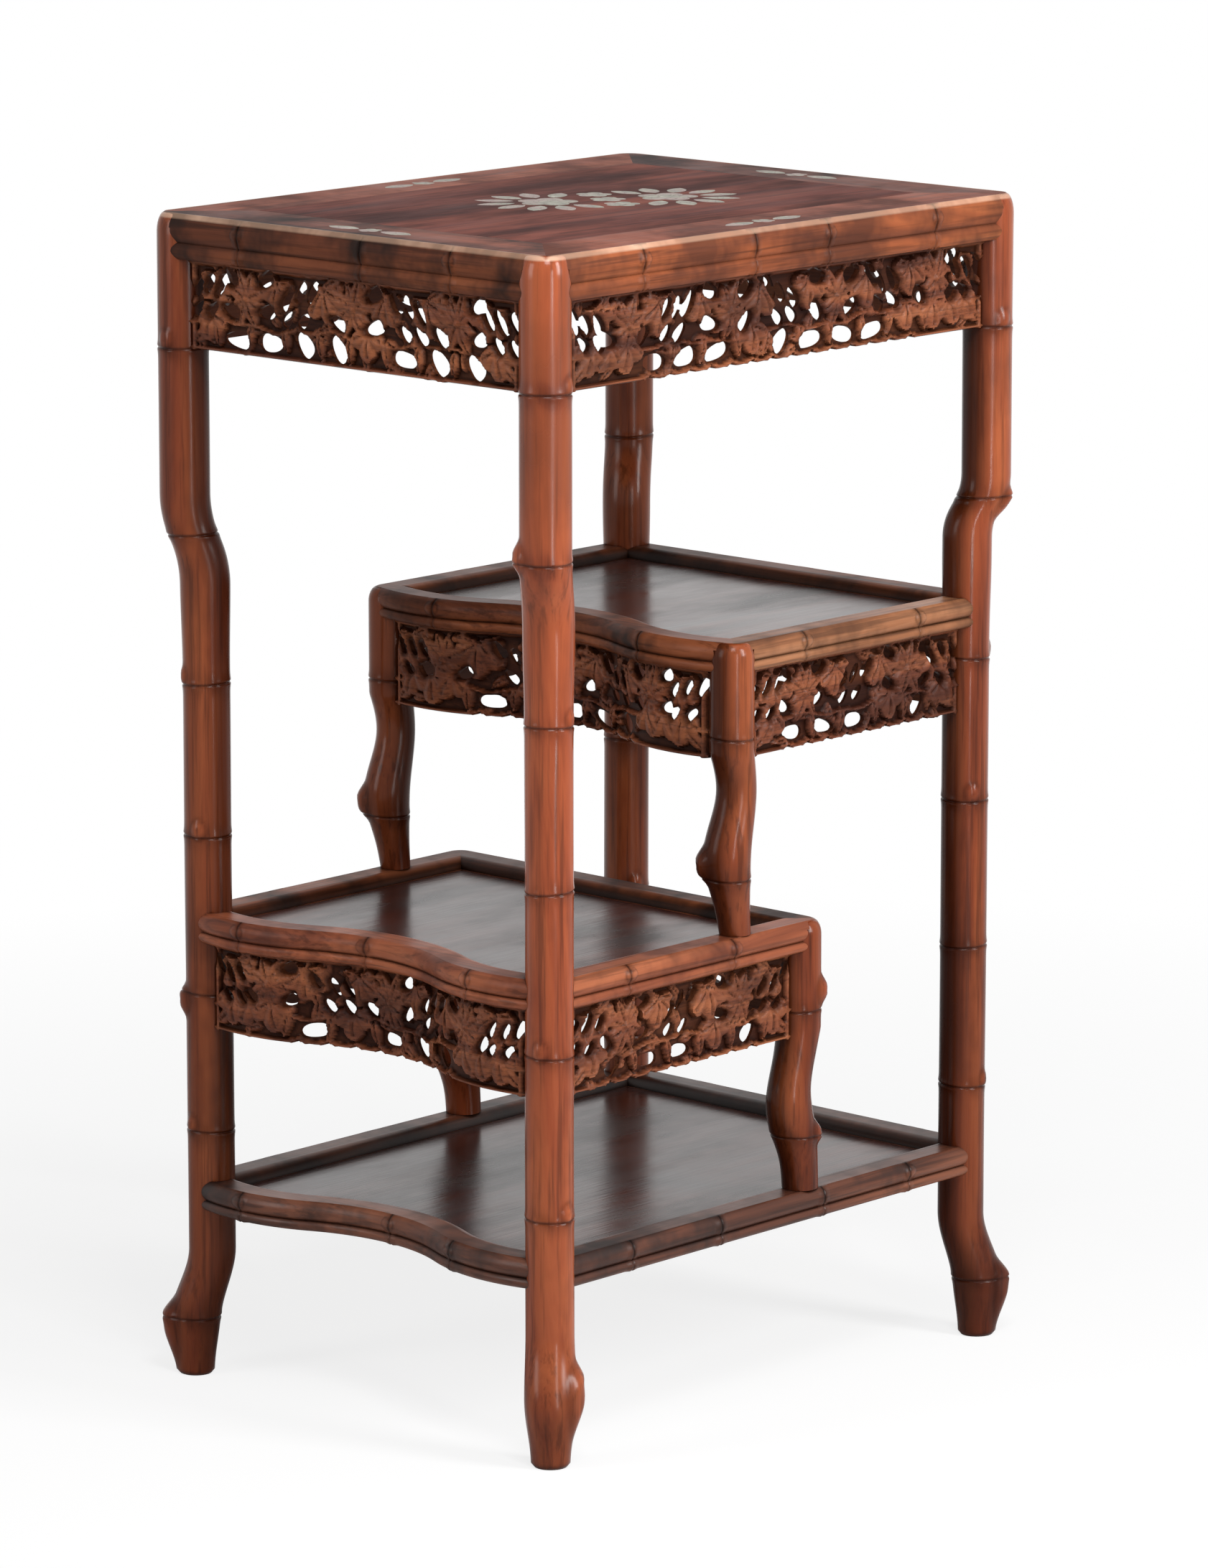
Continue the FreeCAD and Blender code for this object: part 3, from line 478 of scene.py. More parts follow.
def tube_faces(rings, segments):
    """Faces of a tube of rings with a flat cap at both ends."""
    number = np.arange(rings * segments).reshape(rings, segments)
    ahead = np.roll(number, -1, axis=1)
    walls = np.stack([number[:-1], ahead[:-1], ahead[1:], number[1:]], axis=2).reshape(-1, 4)
    return [tuple(face) for face in (*walls.tolist(), number[0].tolist(), number[-1].tolist())]


# Legs


def over(stain, share):
    """Stain and painted shade with a darker one laid over a share of it."""
    return stain + share * (1.0 - stain)


def cane(name, heights, centres, radii, dome, nodes, knots, inward, shade, inner, foot, seed):
    """Carved bamboo cane: round sections, a domed head, grooved node rings, and knots of height, bearing,
    length, rise and tail. The side that faces inward is darker with painted shade."""
    rng = np.random.default_rng(seed)
    z = heights[:, None]
    bearing = np.linspace(0.0, TURN, CANE_SEGMENTS, endpoint=False)[None, :]
    radius = np.repeat(radii[:, None], CANE_SEGMENTS, axis=1)
    for lobes, waves in WOBBLE_WAVES:
        phase = rng.uniform(0.0, TURN, 2)
        radius += WOBBLE / lobes * np.sin(lobes * bearing + phase[0]) * np.sin(waves * z + phase[1])
    dome_height, dome_depth = dome
    head = np.clip((z - heights[-1] + dome_height) / dome_height, 0.0, 1.0)
    radius -= dome_depth * (1.0 - rounded(head, 1.0))
    upper, lower = shade
    shade = lower + (upper - lower) * smooth(z / SHADE_HEIGHT)
    # painted shade on the side that faces inward
    stain = shade + (inner - shade) * smooth((np.cos(bearing - inward) + 0.28) / 0.95)
    stain = over(stain, foot * (1.0 - smooth((z - heights[0]) / FOOT_STAIN_HEIGHT)))
    for node in nodes:
        off = z - node - NODE_SKEW * np.sin(bearing + rng.uniform(0.0, TURN))
        smudge = np.sin(2 * bearing + rng.uniform(0.0, TURN)) * np.sin(5 * bearing + 0.2 * z)
        stain = over(stain, NODE_SMUDGE * (0.6 + 0.4 * smudge) * bell(off, SMUDGE_HALF))
        radius += NODE_SWELL * bell(off, NODE_COLLAR) - NODE_GROOVE * bell(off, GROOVE_HALF)
        stain = over(stain, 0.6 * bell(off, 1.4 * GROOVE_HALF))
    for height, towards, length, rise, tail in knots:
        turn = wrapped(bearing - math.radians(towards))
        q = np.where(z > height, z - height, (height - z) / tail) / (0.5 * length)
        q = np.hypot(turn * LEG_SLIM_RADIUS / (KNOT_BREADTH * length), q)
        radius += rise * np.clip(1.0 - q**2, 0.0, 1.0) ** 2 - KNOT_EYE * rise * bell(q, KNOT_EYE)
        stain = over(stain, KNOT_RIM_STAIN * bell(q - KNOT_RIM, KNOT_EYE))
        # lighter shoulder of a knot: wear and painted highlight
        stain = stain - KNOT_WEAR_AND_HIGHLIGHT * bell(q - KNOT_SHOULDER, KNOT_EYE)
    x = centres[:, :1] + radius * np.cos(bearing)
    y = centres[:, 1:] + radius * np.sin(bearing)
    vertices = np.stack([x, y, np.repeat(z, CANE_SEGMENTS, axis=1)], axis=2).reshape(-1, 3)
    vertices = np.clip(vertices, *(np.array(corner) / MM for corner in CAD_BOX))
    faces = tube_faces(len(heights), CANE_SEGMENTS)
    add_piece(name + "_cane", vertices, faces, CANE_WOOD, name, stain.ravel(), 70.0)


def cane_heights(bottom, top, nodes):
    """Section heights: even, with close ones about every node's groove and below the head."""
    heights = [*np.arange(bottom, top, CANE_STEP), top, *(top - HEAD_STEPS)]
    for node in nodes:
        heights += list(node + NODE_STEPS)
    heights = np.unique(np.round(heights, 2))
    return heights[(heights >= bottom) & (heights <= top)]


def leg_radius(z):
    """Radius of a main leg: slim below the bend, full at the ankle, tapering to the floor."""
    ankle = LEG_SLIM_RADIUS + ANKLE_SWELL
    above = ankle - ANKLE_SWELL * smooth((z - ANKLE_HEIGHT) / (FLARE_HEIGHT - ANKLE_HEIGHT))
    below = FOOT_RADIUS + (ankle - FOOT_RADIUS) * smooth(z / ANKLE_HEIGHT)
    taper = smooth((z - TAPER_START) / (TAPER_END - TAPER_START))
    shaft = LEG_SLIM_RADIUS + (LEG_RADIUS - LEG_SLIM_RADIUS) * taper
    radius = np.where(z < ANKLE_HEIGHT, below, np.where(z < FLARE_HEIGHT, above, shaft))
    return radius - FOOT_EASE * np.clip(1.0 - z / FOOT_EASE, 0.0, 1.0) ** 2


def bend_share(z, bottom, top):
    """Share of the leg's jog reached at a height: two equal arcs that meet halfway up the bend."""
    half = (top - bottom) / 2
    jog = math.hypot(HEAD_X - LEG_X, HEAD_Y - LEG_Y)
    radius = (half**2 + (jog / 2) ** 2) / jog
    runs = np.clip([z - bottom, top - z], 0.0, half)
    first, last = radius - np.sqrt(radius**2 - runs**2)
    return np.where(z < bottom + half, first, jog - last) / jog


# Heights of each leg's bend and nodes, heights and bearings of its buds and leaf scars
# shade: darkening at the head and near the floor, lighter below zero; inner: painted shade on its inward
# side; foot: stain at its foot
LEG_FIELDS = "side_x side_y shade bend nodes bud foot_bud knots inner foot"
MainLeg = namedtuple("MainLeg", LEG_FIELDS, defaults=(INNER_PAINTED_SHADE, FOOT_STAIN))
MAIN_LEGS = {
    "leg_front_left": MainLeg(
        -1.0, -1.0, (-0.16, 0.24), (552.0, 609.0), (165.0, 274.0, 383.0, 492.0, 601.0, 710.0),
        (604.0, LEFT_OF_VIEW), (55.0, RIGHT_OF_VIEW),
        ((716.0, -70.0), (498.0, -75.0), (279.0, -160.0), (170.0, -90.0)), foot=0.45,
    ),
    "leg_back_left": MainLeg(
        -1.0, 1.0, (0.36, 0.6), (548.0, 611.0), (40.0, 172.0, 268.0, 377.0, 481.0, 583.0, 710.0),
        (262.0, LEFT_OF_VIEW), (39.0, LEFT_OF_VIEW),
        ((716.0, 180.0), (487.0, 150.0), (382.0, -160.0), (177.0, 170.0)),
    ),
    "leg_front_right": MainLeg(
        1.0, -1.0, (0.15, 0.6), (564.0, 608.0), (41.0, 180.0, 279.0, 382.0, 481.0, 592.0, 710.0),
        (588.0, RIGHT_OF_VIEW), (40.0, RIGHT_OF_VIEW),
        ((716.0, -100.0), (487.0, -30.0), (388.0, -120.0), (185.0, -70.0)),
    ),
    "leg_back_right": MainLeg(
        1.0, 1.0, (0.2, 0.46), (552.0, 609.0), (43.0, 165.0, 274.0, 383.0, 492.0, 601.0, 702.0),
        (694.0, RIGHT_OF_VIEW), (42.0, 48.0),
        ((498.0, -90.0), (388.0, 30.0), (279.0, -110.0), (170.0, 60.0)), inner=0.54,
    ),
}


def make_main_legs():
    for seed, (name, leg) in enumerate(MAIN_LEGS.items(), 11):
        z = cane_heights(0.0, CAD_BOX[1].z / MM - HEAD_COVER, leg.nodes)
        flare = FOOT_FLARE * smooth((FLARE_HEIGHT - z) / FLARE_RUN)
        share = bend_share(z, *leg.bend)
        x = leg.side_x * (LEG_X + flare + (HEAD_X - LEG_X) * share)
        y = leg.side_y * (LEG_Y + flare + (HEAD_Y - LEG_Y) * share)
        knots = [(*leg.bud, *BUD), (*leg.foot_bud, *FOOT_BUD), *((*knot, *KNOT) for knot in leg.knots)]
        inward = math.atan2(-leg.side_y, -leg.side_x)
        centres = np.stack([x, y], axis=1)
        tint = (leg.shade, leg.inner, leg.foot)
        cane(name, z, centres, leg_radius(z), MAIN_DOME, leg.nodes, knots, inward, *tint, seed)


# Outline of a short leg: share of the height from foot to apron, sway to the free end, radius.
# Its node rings and knots go by their height above the foot.
ShortLeg = namedtuple("ShortLeg", "below x outward nodes knots outline")
SHORT_LEGS = {
    "upper_shelf": ShortLeg(
        "lower_shelf", UPPER_FREE_X, -1.0, (39.0, 134.0), ((48.0, LEFT_OF_VIEW, 32.0, 6.0),),
        ((0.0, -0.5, UPPER_FOOT_RADIUS), (0.16, -0.1, (UPPER_FOOT_RADIUS + NECK_RADIUS) / 2),
         (0.34, 0.45, POST_RADIUS), (0.48, 0.55, KNEE_RADIUS), (0.8, -0.62, NECK_RADIUS)),
    ),
    "lower_shelf": ShortLeg(
        "bottom_shelf", LOWER_FREE_X, 1.0, (38.0, 125.0),
        ((138.0, RIGHT_OF_VIEW, 26.0, 5.0), (40.0, RIGHT_OF_VIEW, 22.0, 4.0)),
        ((0.0, 0.3, LOWER_FOOT_RADIUS), (0.2, 0.0, NECK_RADIUS), (0.4, -0.8, KNEE_RADIUS),
         (0.64, -1.3, POST_RADIUS), (0.86, -0.6, (NECK_RADIUS + POST_RADIUS) / 2)),
    ),
}


def natural_spline(x, y, at):
    """Smooth curve through points, without bend at its two ends."""
    step = np.diff(x)
    system = np.diag(2 * (step[:-1] + step[1:])) + np.diag(step[1:-1], 1) + np.diag(step[1:-1], -1)
    bend = np.pad(np.linalg.solve(system, 6 * np.diff(np.diff(y) / step)), 1)
    k = np.clip(np.searchsorted(x, at) - 1, 0, len(x) - 2)
    a = (x[k + 1] - at) / step[k]
    b = 1.0 - a
    return a * y[k] + b * y[k + 1] + ((a**3 - a) * bend[k] + (b**3 - b) * bend[k + 1]) * step[k] ** 2 / 6


def make_short_legs():
    seed = 31
    for shelf, leg in SHORT_LEGS.items():
        low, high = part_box(shelf + "_rail_right")
        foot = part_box(leg.below + "_rail_right")[1].z / MM
        apron_bottom = low.z / MM - APRON_HEIGHT
        shares, sways, radii = (np.array(column) for column in zip(*leg.outline))
        stations = np.append(foot + shares * (apron_bottom - foot), apron_bottom + NODE_RUN)
        nodes = [foot + rise for rise in leg.nodes]
        z = cane_heights(foot, high.z / MM - HEAD_COVER, nodes)
        bent = np.minimum(z, stations[-1])
        sway = natural_spline(stations, np.append(sways, 0.0), bent)
        radius = natural_spline(stations, np.append(radii, POST_RADIUS), bent)
        x = leg.x + leg.outward * SHORT_LEG_SWAY * sway
        knots = [(foot + rise, bearing, length, lift, 1.0) for rise, bearing, length, lift in leg.knots]
        for end, side_y in (("front", -1.0), ("back", 1.0)):
            centres = np.stack([x, np.full(len(z), side_y * LEG_Y)], axis=1)
            inward = math.atan2(-side_y, side_y)
            name = f"{shelf}_leg_{end}"
            tint = (SHORT_LEG_SHADES.get(name, SHORT_LEG_SHADE), INNER_PAINTED_SHADE, FOOT_STAIN)
            cane(name, z, centres, radius, SHORT_DOME, nodes, knots, inward, *tint, seed)
            seed += 1


# Levels

LEVEL_FIELDS = "name left right half_depth reach leg_radius lower_bead serpentine"


class Level(namedtuple("Level", LEVEL_FIELDS)):
    """A framed level: the lines that its rails and aprons follow."""

    def __init__(self, *fields):
        low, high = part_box(self.name + "_rail_right")
        self.bottom = low.z / MM
        self.top = high.z / MM
        self.crest_y = self.half_depth - CREST_INSET
        self.radius = ((self.crest_y / 2) ** 2 + (SERPENTINE_DEPTH / 2) ** 2) / SERPENTINE_DEPTH
        self.crest_x = self.left - self.reach - self.radius + math.sqrt(self.radius**2 - CREST_INSET**2)

    def ends(self, side):
        """Leg axes at the two ends of a side."""
        if side in LONG_SIDES:
            return self.left, self.right
        return -self.half_depth, self.half_depth

    def curve(self, inset, y):
        """X of the serpentine side, inset from its outer face: arcs over its crests and in its hollow."""
        beyond = np.abs(y) - self.crest_y
        crest = np.sqrt(np.maximum((self.radius - inset) ** 2 - beyond**2, 0.0))
        crest = self.crest_x + self.radius - crest
        hollow_centre = self.crest_x - self.radius + SERPENTINE_DEPTH
        hollow = hollow_centre + np.sqrt((self.radius + inset) ** 2 - y**2)
        turn = self.crest_y * (1.0 - (self.radius - inset) / (2 * self.radius))
        return np.where(np.abs(y) > turn, crest, hollow)

    def place(self, side, along, inset, z):
        """Points along a side, inset from its outer face."""
        if side in LONG_SIDES:
            sign = -1.0 if side == "front" else 1.0
            return np.stack([along, sign * (self.half_depth + self.reach - inset), z], axis=-1)
        if side == "right":
            x = self.right + self.reach - inset
        elif self.serpentine:
            x = self.curve(inset, along)
        else:
            x = self.left - self.reach + inset
        return np.stack([x, along, z], axis=-1)


SHELF_FRAME = (LEG_Y, SHELF_REACH, LEG_SLIM_RADIUS, SHELF_LOWER_BEAD, True)
LEVELS = (
    Level("top", -HEAD_X, HEAD_X, HEAD_Y, TOP_REACH, LEG_RADIUS, TOP_LOWER_BEAD, False),
    Level("upper_shelf", UPPER_FREE_X, LEG_X, *SHELF_FRAME),
    Level("lower_shelf", -LEG_X, LOWER_FREE_X, *SHELF_FRAME),
    Level("bottom_shelf", -LEG_X, LEG_X, *SHELF_FRAME),
)


# Nodes of the rails, which are carved as canes too


def arc_points(start, middle, end, count):
    """Points on the arc through three points, and their outward directions."""
    a, b, c = (complex(*point) for point in (start, middle, end))
    w = (c - a) / (b - a)
    centre = a + (b - a) * (w - abs(w) ** 2) / (2j * w.imag)
    ends = np.array([a, c]) - centre
    angles = np.linspace(*np.arctan2(ends.imag, -ends.real), count)
    out = np.stack([-np.cos(angles), np.sin(angles)], axis=1)
    return np.array([centre.real, centre.imag]) + abs(a - centre) * out, out


RING_PITCH = 105.0
RING_HALF = 10.0
RING_STEPS = 41
RING_SWELL = 0.9
RING_COLLAR = 4.6
RING_GROOVE = 0.55
RING_GROOVE_HALF = 0.8
RING_SINK = 0.14
RING_DEPTH = 4.0
RING_STAIN = 0.5
RING_STAIN_HALF = 3.4
EYE_LENGTH = 12.0
EYE_RISE = 0.8


def rail_ring(level, side, along, rng):
    """Node ring over the two beads of a rail, with a leaf scar on some: vertices, faces, and per-vertex
    stain, lighter with a painted highlight in a scar's middle.
    """
    height = level.top - level.bottom
    bead = level.lower_bead
    crest = (bead + height) / 2
    lower = arc_points((BEAD_DEPTH, 0.0), (0.0, bead / 2), (BEAD_DEPTH, bead), 9)
    upper = arc_points((BEAD_DEPTH, bead), (0.0, crest), (TOP_EASE, height), 13)
    inset, up = np.concatenate([lower[0], upper[0]]).T
    out = np.concatenate([lower[1], upper[1]])
    s = np.linspace(-RING_HALF, RING_HALF, RING_STEPS)[:, None]
    off = s - rng.uniform(-0.8, 0.8) * (up / height - 0.5)
    lift = RING_SWELL * bell(off, RING_COLLAR) - RING_GROOVE * bell(off, RING_GROOVE_HALF)
    stain = RING_STAIN * bell(off, RING_STAIN_HALF) + 0.4 * bell(off, 1.3 * RING_GROOVE_HALF)
    stain = stain * (0.5 + 0.5 * smooth((up - bead) / 4.0))
    if rng.uniform() < 0.6:
        q = np.hypot((off - 2.0) / (0.5 * EYE_LENGTH), (up - crest) / (0.36 * EYE_LENGTH))
        lift = lift + EYE_RISE * (np.clip(1.0 - q**2, 0.0, 1.0) - 0.5 * bell(q, 0.25))
        # dark rim round a leaf scar, its middle lighter with a painted highlight
        stain = np.maximum(stain, 0.5 * bell(q - 1.0, 0.18)) - 0.25 * bell(q, 0.6)
    lift = np.where(np.abs(s) > RING_HALF - 0.1, 0.0, lift) - RING_SINK
    lift = np.minimum(lift, 0.0) + np.maximum(lift, 0.0) * smooth((height - up) / 3.0)
    back = np.array([(TOP_EASE + RING_DEPTH, height - 2.0), (BEAD_DEPTH + RING_DEPTH, 1.5)])
    back = np.repeat(back[None], RING_STEPS, axis=0)
    inset = np.hstack([inset + lift * out[:, 0], back[..., 0]])
    z = np.hstack([up + lift * out[:, 1], back[..., 1]])
    stain = np.hstack([stain, np.zeros(back.shape[:2])])
    vertices = level.place(side, np.broadcast_to(along + s, z.shape), inset, level.bottom + z)
    return vertices.reshape(-1, 3), tube_faces(*z.shape), np.clip(stain, -0.8, 0.9).ravel()


def make_rail_nodes():
    """Node rings along every rail, at uneven distances."""
    for number, level in enumerate(LEVELS):
        for side in SIDES:
            rng = np.random.default_rng(50 + 4 * number + SIDES.index(side))
            start, end = level.ends(side)
            count = max(2, round((end - start) / RING_PITCH))
            pitch = (end - start) / (count + 0.3)
            rings = []
            for i in range(count):
                along = start + pitch * (i + 0.65 + rng.uniform(-0.16, 0.16))
                rings.append(rail_ring(level, side, along, rng))
            vertices, faces, stain = zip(*rings)
            size = len(vertices[0])
            faces = [tuple(i * size + k for k in face) for i, ring in enumerate(faces) for face in ring]
            vertices = np.concatenate(vertices)
            stain = np.concatenate(stain)
            name = f"{level.name}_rail_{side}"
            add_piece(name + "_nodes", vertices, faces, rail_wood(name), None, stain, 75.0)


# Aprons

FAN_SPREAD = 1.9  # radians to either side of a broad leaf's middle rib
OPENING_POWER = 2.4  # above two, an opening is squarer than an ellipse
FAR = 20.0


class Carving:
    """Height field of an apron's carving, built up shape by shape over points (u along, v up)."""

    def __init__(self, u, v, piercing):
        self.u = u
        self.v = v
        self.piercing = piercing
        self.height = np.full(u.shape, GROUND)
        self.wood = np.full(u.shape, FAR)  # distance to the nearest opening, negative inside it

    def add(self, reach, height):
        """Adds a shape from its reach inside its outline, negative outside, and its height."""
        self.height = np.where(reach > 0.0, np.maximum(self.height, height), self.height)

    def turned(self, u, v, angle):
        """Distances from a point along and across a direction."""
        along = (self.u - u) * math.cos(angle) + (self.v - v) * math.sin(angle)
        across = (self.v - v) * math.cos(angle) - (self.u - u) * math.sin(angle)
        return along, across

    def polar(self, u, v):
        """Distance and bearing from a point."""
        return np.hypot(self.u - u, self.v - v), np.arctan2(self.v - v, self.u - u)

    def opening(self, u, size, v, angle, taper):
        """Rounded opening right through the wood, narrower towards one end."""
        length, width = (self.piercing * extent for extent in size)
        along, across = self.turned(u, v, angle)
        along = along * 2.0 / length
        across = across * 2.0 / width / np.clip(1.0 - taper * along, 0.3, 2.0)
        q = (np.abs(along) ** OPENING_POWER + np.abs(across) ** OPENING_POWER) ** (1.0 / OPENING_POWER)
        self.wood = np.minimum(self.wood, (q - 1.0) * 0.5 * min(length, width))

    def round_edges(self):
        """Eases the carving down round every opening."""
        ease = 0.4 + 0.6 * smooth((self.wood + 0.3) / 2.6)
        self.height = GROUND + (self.height - GROUND) * ease

    def leaf(self, u, v, angle, length, width, lift=0.0):
        """Pointed leaf from its base, with a midrib and slanting veins."""
        along, across = self.turned(u, v, angle)
        share = np.clip(along / length, 0.0, 1.0)
        across = across - 0.12 * length * (share - share**2)
        half = 0.5 * width * np.sin(math.pi * share**0.7) ** 0.75
        reach = np.minimum(half - np.abs(across), np.minimum(along, length - along) + 0.5)
        side = np.clip(np.abs(across) / np.maximum(half, 0.01), 0.0, 1.0)
        height = 0.3 + lift + 0.42 * rounded(side, 1.0) * (0.5 + half / width)
        height = height - 0.22 * bell(across, 0.7) * (share < 0.92)
        height = height + 0.06 * np.sin(TURN * (along - 1.1 * np.abs(across)) / 3.4) * (1.0 - side)
        self.add(reach, height)

    def flower(self, u, v, radius, petals, turn):
        """Open flower: an outer and an inner ring of petals round a button."""
        out, bearing = self.polar(u, v)
        bearing = bearing + turn
        between = bearing + math.pi / petals
        edge = radius * (0.84 + 0.16 * np.cos(petals * bearing))
        share = np.clip(out / edge, 0.0, 1.0)
        petal = np.abs(np.cos(0.5 * petals * bearing))
        outer = 0.32 + 0.34 * rounded(share, 1.0) * (0.55 + 0.45 * petal)
        outer = outer + 0.16 * smooth((share - 0.45) / 0.4) * petal * (share < 0.97)
        inner_edge = 0.58 * radius * (0.86 + 0.14 * np.cos(petals * between))
        inner = 0.5 + 0.32 * rounded(out, inner_edge)
        inner = inner - 0.14 * np.abs(np.sin(0.5 * petals * between))
        height = np.where(out < inner_edge, np.maximum(outer, inner), outer)
        self.add(edge - out, height + 0.22 * rounded(out, 0.22 * radius))

    def fan(self, u, v, angle, radius, ribs):
        """Broad lobed leaf whose ribs fan out from its stalk."""
        out, bearing = self.polar(u, v)
        bearing = wrapped(bearing - angle)
        spread = np.clip(np.abs(bearing) / FAN_SPREAD, 0.0, 1.0)
        lobes = np.abs(np.cos(0.5 * ribs * bearing))
        edge = radius * (0.78 + 0.22 * lobes) * (1.0 - 0.45 * spread**2)
        reach = np.minimum(edge - out, (FAN_SPREAD - np.abs(bearing)) * out + 2.0)
        share = np.clip(out / edge, 0.0, 1.0)
        height = 0.42 + 0.3 * np.sin(math.pi * share**0.8) + 0.2 * (lobes - 0.6) * smooth(share / 0.5)
        height = height - 0.2 * bell(1.0 - lobes, 0.04) * (share < 0.85) + 0.14 * share
        self.add(reach, height)

    def berry(self, u, v, radius):
        out = self.polar(u, v)[0]
        self.add(radius - out, 0.25 + 0.6 * rounded(out, radius) - 0.15 * bell(out, 0.2 * radius))

    def stem(self, line, slope, half):
        """Rounded stem along a line v = line(u)."""
        off = np.abs(self.v - line) / np.sqrt(1.0 + slope**2)
        twist = 0.05 * np.sin(TURN * (self.u + 1.5 * (self.v - line)) / 5.0)
        self.add(half - off, 0.25 + (0.4 + twist) * rounded(off, half))

    def strip(self, reach, half, height):
        """Rounded strip whose edges lie half to either side of its middle."""
        self.add(np.minimum(reach, 2 * half - reach), 0.2 + height * rounded(reach - half, half))


def lower_edge(u, clear, depth, foot):
    """Lower edge of an apron: plain feet beside the legs, scallops between them."""
    x = ((u / LOBE_PITCH + 0.5) % 1.0 - 0.5) * 2.0
    scallop = depth * (1.0 - rounded(x, 1.0))
    return scallop * (1.0 - smooth((np.abs(u) - (clear / 2 - foot)) / 3.0))


UPWARD = math.pi / 2
FAN_HEIGHT = 51.0
BERRY_OFFSET = 13.0
BERRY_RING = 3.6


def carve_bay(carving, middle, pitch, rng):
    """A flower on a star of leaves between two broad ribbed leaves, with openings between them."""
    draw = rng.uniform
    bloom = (middle, draw(36.0, 40.0))
    for bearing in (0.5, 1.2, 1.9, 2.6, -0.5, -1.15, -1.95, -2.6):
        angle = bearing + draw(-0.15, 0.15)
        carving.leaf(*bloom, angle, length=draw(19.0, 24.0), width=draw(9.5, 12.5), lift=draw(0.0, 0.1))
    for side in (-1.0, 1.0):
        fan_u = middle + side * draw(0.27, 0.31) * pitch
        tilt = side * draw(-0.1, 0.5)
        carving.fan(fan_u, FAN_HEIGHT, -UPWARD - tilt, radius=draw(21.0, 26.0), ribs=7)
        for k in range(3):
            bearing = TURN * k / 3 + 0.5
            berry_u = fan_u - side * BERRY_OFFSET + BERRY_RING * math.cos(bearing)
            carving.berry(berry_u, FAN_HEIGHT + BERRY_RING * math.sin(bearing), radius=draw(3.0, 3.8))
        gap_u = middle + side * draw(0.15, 0.19) * pitch
        size = (draw(14.0, 18.0), 9.5)
        carving.opening(gap_u, size, v=draw(28.5, 30.5), angle=side * draw(0.2, 1.0), taper=0.25)
        if draw() < 0.5:
            size = (16.0, 10.0)
            carving.opening(gap_u, size, v=draw(50.0, 52.0), angle=side * draw(0.2, 0.7), taper=0.2)
    carving.flower(*bloom, radius=draw(11.0, 13.0), petals=rng.integers(6, 9), turn=draw(0.0, 3.0))


SLOT_PITCH = 11.5
SLOT_MIDDLE = 44.0
LOW_SLOT_PITCH = 14.0


def carve_slots(carving, place, rng):
    """Cluster of slanting slots between two bays."""
    draw = rng.uniform
    lean = rng.choice((-1.0, 1.0))
    for k in (-1.0, 0.0, 1.0):
        slot_u = place + SLOT_PITCH * k + draw(-1.0, 1.0)
        slot_v = SLOT_MIDDLE + draw(-3.0, 3.0) + 2.0 * lean * k
        size = (draw(15.0, 21.0), draw(7.0, 8.6))
        carving.opening(slot_u, size, slot_v, angle=UPWARD - 0.55 * lean, taper=0.2 * k)
    for k in (-0.5, 0.5):
        slot_u = place + LOW_SLOT_PITCH * k - 4.0 * lean
        size = (draw(12.0, 16.0), 7.8)
        carving.opening(slot_u, size, v=draw(27.0, 29.0), angle=UPWARD - 0.8 * lean, taper=0.25)


def carve_lower_row(carving, clear, foot, rng):
    """Row of rounded openings along the lower edge, with leaves that hang between them."""
    draw = rng.uniform
    run = clear - 2 * foot
    count = round(run / PEBBLE_PITCH)
    pitch = run / count
    for i in range(count):
        middle = (i + 0.5 - count / 2) * pitch + draw(-1.5, 1.5)
        tilt = -UPWARD + draw(-0.3, 0.3)
        size = (draw(16.0, 19.0), draw(7.0, 9.0))
        carving.leaf(middle + pitch / 2, VINE_MIDDLE + 1.0, tilt, *size, lift=0.05)
        if i % 5 == 3:
            carving.fan(middle, 25.0, -UPWARD, radius=19.0, ribs=5)
        elif draw() < 0.25:
            size = (draw(18.0, 20.0), 13.0)
            carving.opening(middle, size, v=12.0, angle=draw(0.6, 1.0), taper=0.2)
        else:
            size = (draw(20.0, 25.0), draw(10.5, 12.5))
            carving.opening(middle, size, v=draw(9.5, 11.0), angle=draw(-0.3, 0.3), taper=draw(-0.3, 0.3))


FOOT_LEAF_PITCH = 17.0


def carve_feet(carving, clear, foot, rng):
    """Leaves that fill the plain feet."""
    for sign in (-1.0, 1.0):
        carving.leaf(sign * (clear / 2 - 2.0), 6.0, UPWARD + sign * 0.9, length=24.0, width=10.0)
        for i in range(round((foot - 14.0) / FOOT_LEAF_PITCH)):
            place = sign * (clear / 2 - 18.0 - FOOT_LEAF_PITCH * i)
            height = 27.0 + rng.uniform(-2.0, 2.0)
            tilt = sign * rng.uniform(-0.2, 0.7)
            carving.fan(place, height, -UPWARD + tilt, radius=21.0, ribs=5)


UNDER_PITCH = 5.0
UNDER_LIFT = -0.2


def carve_undergrowth(carving, clear, rng):
    """Low leaves over the ground between the others."""
    draw = rng.uniform
    limit = clear / 2 - 4.0
    for i in range(round(clear / UNDER_PITCH)):
        place = draw(-limit, limit)
        size = (draw(13.0, 19.0), draw(6.0, 9.0))
        carving.leaf(place, draw(6.0, 54.0), draw(0.0, TURN), *size, lift=UNDER_LIFT + 0.04 * (i % 3))


